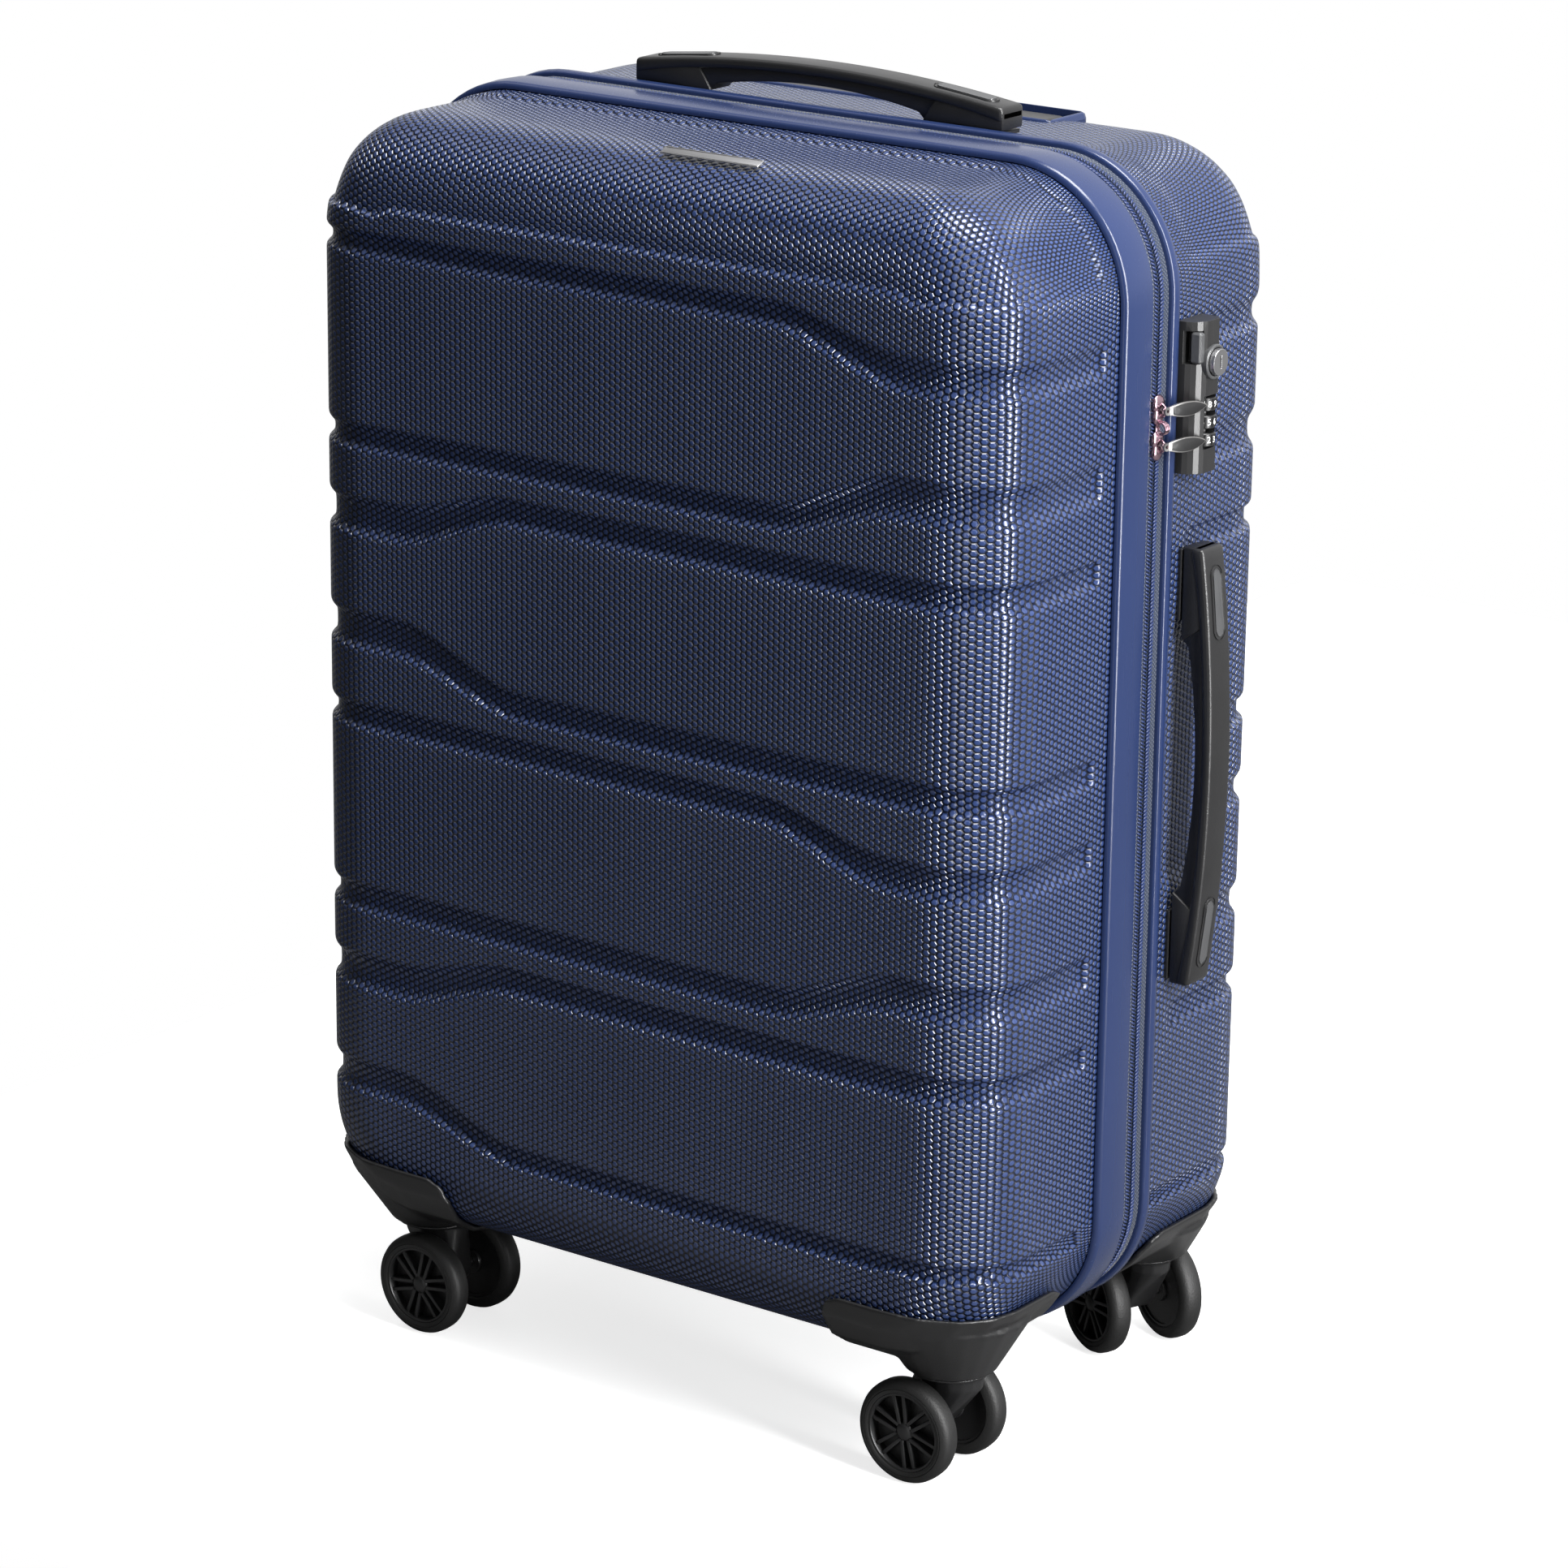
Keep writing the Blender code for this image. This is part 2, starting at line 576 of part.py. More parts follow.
def trolley_grip():
    low, high = (-GRIP_HALF, TUBE_Y - GRIP_DEPTH, GRIP_Z[0]), (GRIP_HALF, TUBE_Y + GRIP_DEPTH, GRIP_Z[1])
    bar = box("trolley_grip", low, high)
    grip = bevelled(mesh_object("trolley_grip", bar, black), 0.0045, 2)
    for side, x in (("left", -TUBE_X), ("right", TUBE_X)):
        low, high = (x - 0.0085, TUBE_Y - 0.0115, 0.6350), (x + 0.0085, TUBE_Y + 0.0115, 0.6560)
        leg = box(f"grip_leg_{side}", low, high)
        boolean(grip, cutter_object(f"grip_leg_{side}", leg), "UNION")
        low, high = (x - 0.0054, TUBE_Y - 0.0084, 0.60), (x + 0.0054, TUBE_Y + 0.0084, 0.6410)
        socket = box(f"grip_socket_{side}", low, high)
        boolean(grip, cutter_object(f"grip_socket_{side}", socket), "DIFFERENCE")
    half_x, half_y = BUTTON_HALF
    room_x, room_y = half_x + 0.0004, half_y + 0.0004
    low, high = (-room_x, TUBE_Y - room_y, BUTTON_Z[0] - 0.005), (room_x, TUBE_Y + room_y, 0.68)
    boolean(grip, cutter_object("button_pocket", box("button_pocket", low, high)), "DIFFERENCE")
    low, high = (-half_x, TUBE_Y - half_y, BUTTON_Z[0]), (half_x, TUBE_Y + half_y, BUTTON_Z[1])
    button = box("trolley_button", low, high)
    bevelled(mesh_object("trolley_button", button, grey, pivot=(0, TUBE_Y, BUTTON_Z[0])), 0.0015)


def lock_outline():
    """The lock's section: a flat back on the shell, a rounded flank towards the seam, and a flat face."""
    radius = LOCK_FLANK_RADIUS
    outline = [(HALF_WIDTH + GAP, LOCK_Y[0]), (LOCK_FLANK, LOCK_Y[0])]
    for step in range(1, 7):
        angle = math.radians(step * 15.0)
        outline.append((LOCK_FLANK + radius * math.sin(angle), LOCK_Y[0] + radius * (1 - math.cos(angle))))
    outline += [(LOCK_FACE, LOCK_Y[1] - 0.003), (LOCK_FACE - 0.003, LOCK_Y[1])]
    return outline + [(HALF_WIDTH + GAP, LOCK_Y[1])]


def combination_lock():
    half = (LOCK_Z[1] - LOCK_Z[0]) / 2
    frame = Matrix.Translation((0, 0, LOCK_Z[0] + half))
    body = mesh_object("lock_body", prism("lock_body", lock_outline(), half, frame), black)
    slot = box("dial_slot", (0.2222, 0.0608, 0.5270), (0.25, 0.0732, 0.5540))
    boolean(body, cutter_object("dial_slot", slot), "DIFFERENCE")
    shaft = cylinder("dial_shaft", (*DIAL_CENTRE, 0.5250), (0, 0, 1), 0.0310, 0.0012, segments=10)
    boolean(body, cutter_object("dial_shaft", shaft), "UNION")
    low = (LOCK_BUTTON_FOOT - 0.0030, 0.050, LOCK_BUTTON_Z[0] - 0.0004)
    high = (0.25, LOCK_BUTTON_Y[1] + 0.0004, LOCK_BUTTON_Z[1] + 0.0004)
    notch = box("button_notch", low, high)
    boolean(body, cutter_object("button_notch", notch), "DIFFERENCE")
    bore_foot = (KEY_FOOT - GAP, *KEY_CENTRE)
    bore = cylinder("key_bore", bore_foot, (1, 0, 0), 0.02, KEY_RADIUS + GAP, segments=20)
    boolean(body, cutter_object("key_bore", bore), "DIFFERENCE")
    low = (LOCK_BUTTON_FOOT, LOCK_BUTTON_Y[0], LOCK_BUTTON_Z[0])
    button = box("lock_button", low, (LOCK_FACE, LOCK_BUTTON_Y[1], LOCK_BUTTON_Z[1]))
    bevelled(mesh_object("lock_button", button, black, pivot=(LOCK_BUTTON_FOOT, 0.0566, 0.5790)), 0.0010, 1)
    key = cylinder("key_cylinder", (KEY_FOOT, *KEY_CENTRE), (1, 0, 0), 0.0095, KEY_RADIUS, segments=20)
    key_part = mesh_object("key_cylinder", key, steel, pivot=(KEY_FOOT, *KEY_CENTRE))
    slot_low = (0.2355, KEY_CENTRE[0] - 0.0006, KEY_CENTRE[1] - 0.0030)
    slot_high = (0.25, KEY_CENTRE[0] + 0.0006, KEY_CENTRE[1] + 0.0030)
    key_slot = box("key_slot", slot_low, slot_high)
    boolean(key_part, cutter_object("key_slot", key_slot), "DIFFERENCE")
    smooth(key_part)
    for number, z in enumerate(DIAL_Z, 1):
        foot = (*DIAL_CENTRE, z - DIAL_HALF)
        disc = cylinder(f"dial_{number}", foot, (0, 0, 1), 2 * DIAL_HALF, DIAL_RADIUS, segments=20)
        dial = mesh_object(f"dial_{number}", disc, grey, pivot=(*DIAL_CENTRE, z))
        eye = cylinder(f"dial_eye_{number}", (*DIAL_CENTRE, z - 0.01), (0, 0, 1), 0.02, 0.0016, segments=10)
        boolean(dial, cutter_object(f"dial_eye_{number}", eye), "DIFFERENCE")
        smooth(dial)


def zip_sliders():
    reach = Vector((PULL_TIP[0] - PULL_PIVOT[0], PULL_TIP[1] - PULL_PIVOT[1], 0.0))
    out = Vector((reach.y, -reach.x, 0.0)).normalized()
    ahead = reach.normalized()
    half = reach.length
    leaf = [(-0.0018, -0.0016), (-0.0018, 0.0016), (0.3 * half, 0.0034), (0.65 * half, 0.0036), (half, 0.0008)]
    leaf += [(half, -0.0008), (0.65 * half, -0.0036), (0.3 * half, -0.0034)]
    for name, z in SLIDER_Z.items():
        low = (SLIDER_X[0], SEAM - SLIDER_HALF_Y, z - SLIDER_HALF_Z)
        high = (SLIDER_X[1], SEAM + SLIDER_HALF_Y, z + SLIDER_HALF_Z)
        body = box(f"zip_slider_{name}", low, high)
        bevelled(mesh_object(f"zip_slider_{name}", body, rose_chrome, pivot=(SLIDER_X[0], SEAM, z)), 0.0012, 1)
        rows = [(ahead[i], 0.0 if i < 2 else 1.0, out[i], (*PULL_PIVOT, z)[i]) for i in range(3)]
        frame = Matrix((rows[0], rows[1], rows[2], (0, 0, 0, 1)))
        mesh = prism(f"zip_pull_{name}", leaf, 0.0010, frame)
        bevelled(mesh_object(f"zip_pull_{name}", mesh, rose_chrome, pivot=(*PULL_PIVOT, z)), 0.0004, 1)


for old in list(bpy.data.objects):
    bpy.data.objects.remove(old)
bpy.context.scene.collection.children.link(parts)
bpy.context.scene.collection.children.link(cutters)
case = bpy.data.objects.new("case_centre", None)
case.location = (CASE_X, CASE_Y, 0.0)
parts.objects.link(case)

navy = material("navy_polycarbonate", (0.018, 0.040, 0.165), 0.22)
rim_blue = material("rim_blue", (0.040, 0.075, 0.300), 0.30)
tape_blue = material("zip_tape_blue", (0.030, 0.060, 0.180), 0.85)
lining_grey = material("lining_grey", (0.110, 0.115, 0.130), 0.90)
strap_black = material("strap_black", (0.020, 0.020, 0.022), 0.85)
black = material("black_nylon", (0.016, 0.016, 0.017), 0.45)
tyre_black = material("tyre_black", (0.020, 0.020, 0.021), 0.60)
grey = material("grey_plastic", (0.160, 0.160, 0.165), 0.40)
steel = material("steel", (0.620, 0.620, 0.640), 0.28, 1.0)
aluminium = material("aluminium", (0.700, 0.700, 0.720), 0.35, 1.0)
rose_chrome = material("rose_chrome", (0.620, 0.440, 0.450), 0.20, 1.0)

front_shell()
rear_shell()
seam_bands()
linings()
hinge_tape()
packing_straps()
name_plate()
for caster_name, (swivel_x, swivel_y, trail_angle) in CASTERS.items():
    caster(caster_name, swivel_x, swivel_y, trail_angle)
carry_handles()
trolley_tubes()
trolley_cup()
trolley_grip()
combination_lock()
zip_sliders()
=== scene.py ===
import math

import bmesh
import bpy
from mathutils import Matrix, Vector


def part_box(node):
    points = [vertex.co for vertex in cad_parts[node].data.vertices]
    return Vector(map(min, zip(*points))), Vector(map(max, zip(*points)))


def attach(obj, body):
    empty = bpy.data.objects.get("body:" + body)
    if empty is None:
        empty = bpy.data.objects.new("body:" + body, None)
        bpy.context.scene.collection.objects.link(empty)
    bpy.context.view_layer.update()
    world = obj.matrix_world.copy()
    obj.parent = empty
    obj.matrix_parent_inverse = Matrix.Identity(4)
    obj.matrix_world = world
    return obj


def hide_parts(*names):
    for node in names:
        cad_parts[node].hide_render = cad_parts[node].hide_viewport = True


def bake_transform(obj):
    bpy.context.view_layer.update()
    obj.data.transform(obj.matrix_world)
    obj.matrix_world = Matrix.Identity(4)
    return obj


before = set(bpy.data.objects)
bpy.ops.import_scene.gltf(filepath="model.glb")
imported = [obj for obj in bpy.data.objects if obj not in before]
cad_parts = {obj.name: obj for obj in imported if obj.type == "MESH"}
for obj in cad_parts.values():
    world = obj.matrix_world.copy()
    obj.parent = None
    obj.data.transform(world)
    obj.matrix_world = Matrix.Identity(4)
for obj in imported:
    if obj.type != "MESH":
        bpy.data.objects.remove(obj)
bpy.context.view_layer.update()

# The case's own coordinates: x from its middle, y from the front edge of the front rim, z from the floor.
shell_low, shell_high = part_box("front_shell")
_, rear_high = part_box("rear_shell")
rim_low, rim_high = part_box("front_rim")
rear_rim_low, rear_rim_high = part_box("rear_rim")
ORIGIN = Vector(((shell_low.x + shell_high.x) / 2, rim_low.y, 0.0))
HALF_WIDTH = (shell_high.x - shell_low.x) / 2
BOTTOM, TOP = shell_low.z, shell_high.z
FRONT, BACK = shell_low.y - ORIGIN.y, rear_high.y - ORIGIN.y
FRONT_RIM = (0.0, rim_high.y - ORIGIN.y)
REAR_RIM = (rear_rim_low.y - ORIGIN.y, rear_rim_high.y - ORIGIN.y)
SEAM = (FRONT_RIM[1] + REAR_RIM[0]) / 2 - 0.00025
CORNER = 0.0650
FRONT_EDGE = 0.0400
BACK_EDGE = 0.0360
RIM_PROUD = rim_high.z - TOP
SHELL_WALL = 0.0022

# Each band pressed into the shell: its upper and lower edge at the left wall, then at the right
# wall, and the stretch of the face over which it steps from one to the other.
BANDS = (
    (0.6095, 0.5965, 0.5925, 0.5740, 0.088, 0.158),
    (0.5080, 0.4940, 0.5335, 0.5115, 0.088, 0.155),
    (0.4690, 0.4485, 0.4840, 0.4695, -0.148, -0.085),
    (0.4075, 0.3870, 0.3820, 0.3670, -0.148, -0.080),
    (0.3580, 0.3438, 0.3410, 0.3226, 0.085, 0.150),
    (0.2585, 0.2430, 0.2806, 0.2604, 0.092, 0.160),
    (0.2190, 0.1990, 0.2325, 0.2180, -0.147, -0.085),
    (0.1586, 0.1403, 0.1330, 0.1220, -0.150, -0.083),
)
BAND_DEPTH = 0.0035
UPPER_SLOPE = 0.0052
LOWER_SLOPE = 0.0034
CAP_LINE = 0.6220
CAP_DEPTH = 0.0026
FRONT_BANDS_END = -0.0120
BAND_END_SLOT = 0.0016
REAR_BANDS_START = 0.0660

# The raised six-sided tiles: spacing across and along their rows, and how high they stand.
TILE_COLUMN = 0.0033
TILE_ROW = 0.00355
TILE_RISE = 0.00100

# How far the tile pattern runs for each step over a round edge, and along a wall.
EDGE_STRETCH = 0.82
WALL_STRETCH = 0.95

# The softboxes: bearing and height in degrees, distance, size and power. All aim at one point.
LIGHTS = (
    ("strip_softbox", 78.0, 16.0, 1.7, (0.26, 2.3), 84.0),
    ("overhead_softbox", 80.0, 78.0, 2.2, (1.1, 1.1), 88.0),
    ("left_softbox", -84.0, 53.0, 2.4, (0.8, 0.8), 3.0),
    ("front_softbox", 16.0, 4.0, 2.6, (0.30, 1.9), 6.0),
)
LIGHT_AIM = Vector((0.0, 0.0, 0.35))

# The floor sheet's middle, its tone where things are mirrored in it, and how it brightens to the eye.
FLOOR_MIDDLE = (0.40, 0.55, 0.0)
FLOOR_TONE = (0.15, 0.15, 0.15)
FLOOR_SEEN_TONE = 4.6
FLOOR_GLOW = 0.73

# The camera: bearing, height and roll in degrees, its place, and its focal length over the frame's width.
CAMERA_TURN = (35.889, 17.263, 0.7375)
CAMERA_PLACE = (1.62780, -2.21743, 1.17899)
FOCAL_RATIO = 6817.45 / 1932
SENSOR_WIDTH = 36.0


# ---------------------------------------------------------------- finishes

def socket(tree, name, kind, way="INPUT", value=None):
    made = tree.interface.new_socket(name=name, in_out=way, socket_type=kind)
    if value is not None:
        made.default_value = value
    return made


def node(tree, kind, **settings):
    made = tree.nodes.new(kind)
    for key, value in settings.items():
        setattr(made, key, value)
    return made


def math_node(tree, operation, first, second=None, third=None, clamp=False):
    made = node(tree, "ShaderNodeMath", operation=operation, use_clamp=clamp)
    for slot_number, value in enumerate((first, second, third)):
        if value is None:
            continue
        if isinstance(value, (int, float)):
            made.inputs[slot_number].default_value = value
        else:
            tree.links.new(value, made.inputs[slot_number])
    return made.outputs[0]


def vector_node(tree, operation, first, second=None, out=0):
    made = node(tree, "ShaderNodeVectorMath", operation=operation)
    for slot_number, value in enumerate((first, second)):
        if value is None:
            continue
        if isinstance(value, (tuple, list)):
            made.inputs[slot_number].default_value = value
        else:
            tree.links.new(value, made.inputs[slot_number])
    return made.outputs[out]


def ramp(tree, value, low, high, to_low=0.0, to_high=1.0):
    made = node(tree, "ShaderNodeMapRange")
    made.interpolation_type = "SMOOTHSTEP"
    tree.links.new(value, made.inputs["Value"])
    for key, number in (("From Min", low), ("From Max", high), ("To Min", to_low), ("To Max", to_high)):
        made.inputs[key].default_value = number
    return made.outputs[0]


def noise(tree, vector, scale, detail=3.0):
    made = node(tree, "ShaderNodeTexNoise")
    tree.links.new(vector, made.inputs["Vector"])
    made.inputs["Scale"].default_value = scale
    made.inputs["Detail"].default_value = detail
    made.inputs["Roughness"].default_value = 0.55
    return made.outputs["Fac"]


def group(name, inputs, outputs):
    tree = bpy.data.node_groups.new(name, "ShaderNodeTree")
    for label, kind, value in inputs:
        socket(tree, label, kind, "INPUT", value)
    for label, kind in outputs:
        socket(tree, label, kind, "OUTPUT")
    return tree, tree.nodes.new("NodeGroupInput"), tree.nodes.new("NodeGroupOutput")


def hex_tiles_group():
    """Raised six-sided tiles, one unit apart across the columns, with grooves between them, and a mask of
    painted shade that darkens those grooves.
    """
    tree, start, end = group(
        "hex_tiles",
        [
            ("Vector", "NodeSocketVector", None),
            ("Column", "NodeSocketFloat", TILE_COLUMN),
            ("Row", "NodeSocketFloat", TILE_ROW),
        ],
        [("Height", "NodeSocketFloat"), ("Groove Painted Shade", "NodeSocketFloat")],
    )
    size = node(tree, "ShaderNodeCombineXYZ")
    tree.links.new(start.outputs["Column"], size.inputs[0])
    tree.links.new(start.outputs["Row"], size.inputs[1])
    size.inputs[2].default_value = 1.0
    flat = vector_node(tree, "DIVIDE", start.outputs["Vector"], size.outputs[0])
    # In these units a column is sqrt(3)/2 wide and a tile 1 tall.
    even = vector_node(tree, "MULTIPLY", flat, (math.sqrt(3) / 2, 1.0, 0.0))
    half = (math.sqrt(3) / 2, 0.5, 0.0)
    nearest = []
    centred = []
    for shift in ((0.0, 0.0, 0.0), half):
        moved = vector_node(tree, "SUBTRACT", even, shift)
        wrapped = node(tree, "ShaderNodeVectorMath", operation="WRAP")
        tree.links.new(moved, wrapped.inputs[0])
        wrapped.inputs[1].default_value = (math.sqrt(3) / 2, 0.5, 0.5)
        wrapped.inputs[2].default_value = (-math.sqrt(3) / 2, -0.5, -0.5)
        around = vector_node(tree, "ABSOLUTE", wrapped.outputs[0])
        split = node(tree, "ShaderNodeSeparateXYZ")
        tree.links.new(around, split.inputs[0])
        slant = math_node(tree, "MULTIPLY", split.outputs[0], math.sqrt(3) / 2)
        slant = math_node(tree, "MULTIPLY_ADD", split.outputs[1], 0.5, slant)
        nearest.append(math_node(tree, "MAXIMUM", slant, split.outputs[1]))
        centred.append(vector_node(tree, "LENGTH", around, out=1))
    reach = math_node(tree, "MINIMUM", nearest[0], nearest[1])
    # Painted shade: this mask darkens the tile colour in the grooves between the tiles.
    groove_painted_shade = ramp(tree, reach, 0.27, 0.47)
    shoulder = ramp(tree, reach, 0.26, 0.50)
    out_to = math_node(tree, "MINIMUM", centred[0], centred[1])
    dome = math_node(tree, "MULTIPLY", out_to, out_to)
    height = math_node(tree, "MULTIPLY_ADD", dome, -0.9, 1.0)
    height = math_node(tree, "MULTIPLY_ADD", shoulder, -0.8, height)
    tree.links.new(height, end.inputs["Height"])
    tree.links.new(groove_painted_shade, end.inputs["Groove Painted Shade"])
    return tree


def wear_group():
    """Faint handling marks: long fine scratches, and cloudy patches where fingers have been."""
    tree, start, end = group(
        "handling_wear",
        [("Vector", "NodeSocketVector", None), ("Amount", "NodeSocketFloat", 0.3)],
        [("Roughness", "NodeSocketFloat"), ("Height", "NodeSocketFloat")],
    )
    clouds = noise(tree, start.outputs["Vector"], 14.0, 4.0)
    stretched = vector_node(tree, "MULTIPLY", start.outputs["Vector"], (900.0, 900.0, 22.0))
    lines = noise(tree, stretched, 1.0, 2.0)
    scratch = ramp(tree, lines, 0.66, 0.74)
    cloudy = math_node(tree, "MULTIPLY_ADD", clouds, 0.7, -0.35)
    both = math_node(tree, "MULTIPLY_ADD", scratch, 0.35, cloudy)
    worn = math_node(tree, "MULTIPLY", both, start.outputs["Amount"])
    tree.links.new(worn, end.inputs["Roughness"])
    sunk = math_node(tree, "MULTIPLY", scratch, -1.0)
    tree.links.new(sunk, end.inputs["Height"])
    return tree


def grain_group():
    """Fine pebbled grain of moulded nylon."""
    tree, start, end = group(
        "moulded_grain",
        [("Vector", "NodeSocketVector", None), ("Scale", "NodeSocketFloat", 1800.0)],
        [("Height", "NodeSocketFloat"), ("Tone", "NodeSocketFloat")],
    )
    cells = node(tree, "ShaderNodeTexVoronoi")
    cells.feature = "SMOOTH_F1"
    tree.links.new(start.outputs["Vector"], cells.inputs["Vector"])
    tree.links.new(start.outputs["Scale"], cells.inputs["Scale"])
    tree.links.new(cells.outputs["Distance"], end.inputs["Height"])
    tone = noise(tree, start.outputs["Vector"], 45.0, 4.0)
    tree.links.new(tone, end.inputs["Tone"])
    return tree


def weave_group():
    """Plain weave: warp and weft threads that pass over each other."""
    tree, start, end = group(
        "plain_weave",
        [("Vector", "NodeSocketVector", None), ("Thread", "NodeSocketFloat", 0.0006)],
        [("Height", "NodeSocketFloat"), ("Tone", "NodeSocketFloat")],
    )
    size = node(tree, "ShaderNodeCombineXYZ")
    for slot_number in range(3):
        tree.links.new(start.outputs["Thread"], size.inputs[slot_number])
    scaled = vector_node(tree, "DIVIDE", start.outputs["Vector"], size.outputs[0])
    split = node(tree, "ShaderNodeSeparateXYZ")
    tree.links.new(scaled, split.inputs[0])
    waves = []
    for axis in (0, 1):
        turn = math_node(tree, "MULTIPLY", split.outputs[axis], math.pi)
        waves.append(math_node(tree, "SINE", turn))
    crossed = math_node(tree, "MULTIPLY", waves[0], waves[1])
    height = math_node(tree, "MULTIPLY_ADD", crossed, 0.5, 0.5)
    tree.links.new(height, end.inputs["Height"])
    tone = noise(tree, scaled, 0.35, 3.0)
    tree.links.new(tone, end.inputs["Tone"])
    return tree


HEX_TILES = hex_tiles_group()
WEAR = wear_group()
GRAIN = grain_group()
WEAVE = weave_group()


def place_group(tree, tool, **values):
    made = node(tree, "ShaderNodeGroup", node_tree=tool)
    for key, value in values.items():
        if isinstance(value, (int, float)):
            made.inputs[key].default_value = value
        else:
            tree.links.new(value, made.inputs[key])
    return made


def blank(name, colour, **numbers):
    """A material with its Principled shader, set to plain numbers."""
    made = bpy.data.materials.new(name)
    made.use_nodes = True
    shader = made.node_tree.nodes["Principled BSDF"]
    shader.inputs["Base Color"].default_value = (*colour, 1.0)
    for key, value in numbers.items():
        shader.inputs[key.replace("_", " ")].default_value = value
    return made, made.node_tree, shader


def coordinates(tree, output="Object"):
    return node(tree, "ShaderNodeTexCoord").outputs[output]


def bump(tree, shader, height, distance):
    made = node(tree, "ShaderNodeBump")
    made.inputs["Distance"].default_value = distance
    made.inputs["Strength"].default_value = 1.0
    tree.links.new(height, made.inputs["Height"])
    tree.links.new(made.outputs[0], shader.inputs["Normal"])


def tinted(tree, shader, colour, darker, lighter, factor):
    """Base colour that drifts between a darker and a lighter tone."""
    mix = node(tree, "ShaderNodeMix", data_type="RGBA")
    mix.inputs["A"].default_value = (*[c * darker for c in colour], 1.0)
    mix.inputs["B"].default_value = (*[min(1.0, c * lighter) for c in colour], 1.0)
    tree.links.new(factor, mix.inputs["Factor"])
    tree.links.new(mix.outputs["Result"], shader.inputs["Base Color"])
    return mix


def shell_finish():
    colour = (0.015, 0.027, 0.080)
    made, tree, shader = blank("navy_polycarbonate", colour, Roughness=0.22, IOR=1.58, Coat_Weight=0.0)
    tiles = place_group(tree, HEX_TILES, Vector=coordinates(tree, "UV"),
                        Column=TILE_COLUMN, Row=TILE_ROW)
    wear = place_group(tree, WEAR, Vector=coordinates(tree), Amount=0.10)
    # Painted shade and painted light: the navy is painted 0.16 times as bright in the grooves between tiles
    # and 1.42 times as bright on the tile tops.
    tinted(tree, shader, colour, 1.42, 0.16, tiles.outputs["Groove Painted Shade"])
    rough = math_node(tree, "ADD", wear.outputs["Roughness"], 0.20, clamp=True)
    tree.links.new(rough, shader.inputs["Roughness"])
    bump(tree, shader, tiles.outputs["Height"], TILE_RISE)
    return made


def gloss_finish(name, colour, roughness):
    made, tree, shader = blank(name, colour, Roughness=roughness, IOR=1.5)
    place = coordinates(tree)
    wear = place_group(tree, WEAR, Vector=place, Amount=0.12)
    tinted(tree, shader, colour, 0.86, 1.12, noise(tree, place, 9.0, 3.0))
    rough = math_node(tree, "ADD", wear.outputs["Roughness"], roughness, clamp=True)
    tree.links.new(rough, shader.inputs["Roughness"])
    bump(tree, shader, wear.outputs["Height"], 0.00002)
    return made


def moulded_finish(name, colour, roughness, grain=1800.0, depth=0.00006):
    made, tree, shader = blank(name, colour, Roughness=roughness, IOR=1.5)
    place = coordinates(tree)
    pebbles = place_group(tree, GRAIN, Vector=place, Scale=grain)
    wear = place_group(tree, WEAR, Vector=place, Amount=0.15)
    tinted(tree, shader, colour, 0.75, 1.35, pebbles.outputs["Tone"])
    rough = math_node(tree, "ADD", wear.outputs["Roughness"], roughness, clamp=True)
    tree.links.new(rough, shader.inputs["Roughness"])
    bump(tree, shader, pebbles.outputs["Height"], depth)
    return made


def woven_finish(name, colour, thread, depth=0.00022):
    made, tree, shader = blank(name, colour, Roughness=0.85, Sheen_Weight=0.25, Sheen_Roughness=0.4)
    cloth = place_group(tree, WEAVE, Vector=coordinates(tree, "UV"), Thread=thread)
    # Painted shade: the raised threads are painted lighter and the low points between them darker, mixed with
    # a random tone.
    shade = math_node(tree, "MULTIPLY", cloth.outputs["Height"], 0.6)
    shade = math_node(tree, "MULTIPLY_ADD", cloth.outputs["Tone"], 0.4, shade)
    tinted(tree, shader, colour, 0.55, 1.45, shade)
    bump(tree, shader, cloth.outputs["Height"], depth)
    return made


def metal_finish(name, colour, roughness, along=(40.0, 2600.0, 2600.0), depth=0.000012):
    made, tree, shader = blank(name, colour, Metallic=1.0, Roughness=roughness)
    place = coordinates(tree)
    drawn = vector_node(tree, "MULTIPLY", place, along)
    lines = noise(tree, drawn, 1.0, 3.0)
    tinted(tree, shader, colour, 0.88, 1.06, lines)
    spread = math_node(tree, "MULTIPLY_ADD", lines, 0.18, roughness - 0.09, clamp=True)
    tree.links.new(spread, shader.inputs["Roughness"])
    bump(tree, shader, lines, depth)
    return made


NAVY = shell_finish()
RIM_BLUE = gloss_finish("rim_blue", (0.011, 0.021, 0.068), 0.26)
TAPE = woven_finish("zip_tape_blue", (0.009, 0.017, 0.038), 0.0011, depth=0.00045)
COIL = moulded_finish("zip_coil_blue", (0.012, 0.024, 0.085), 0.42, 900.0, 0.00002)
LINING = woven_finish("lining_grey", (0.110, 0.115, 0.130), 0.0009)
STRAP = woven_finish("strap_black", (0.018, 0.018, 0.020), 0.0011)
BLACK = moulded_finish("black_nylon", (0.009, 0.009, 0.0095), 0.36)
SATIN_BLACK = gloss_finish("satin_black", (0.012, 0.012, 0.0125), 0.36)
DULL_CHROME = metal_finish("dull_chrome", (0.420, 0.410, 0.400), 0.34, (300.0, 300.0, 300.0), 0.000004)
CHARCOAL = moulded_finish("charcoal_plastic", (0.045, 0.046, 0.048), 0.34)
WHITE_INK = moulded_finish("white_ink", (0.75, 0.75, 0.73), 0.5)
TYRE = moulded_finish("tyre_black", (0.007, 0.007, 0.007), 0.55, 1400.0, 0.00010)
GREY = moulded_finish("grey_plastic", (0.150, 0.150, 0.155), 0.38)
STEEL = metal_finish("steel", (0.420, 0.420, 0.430), 0.34)
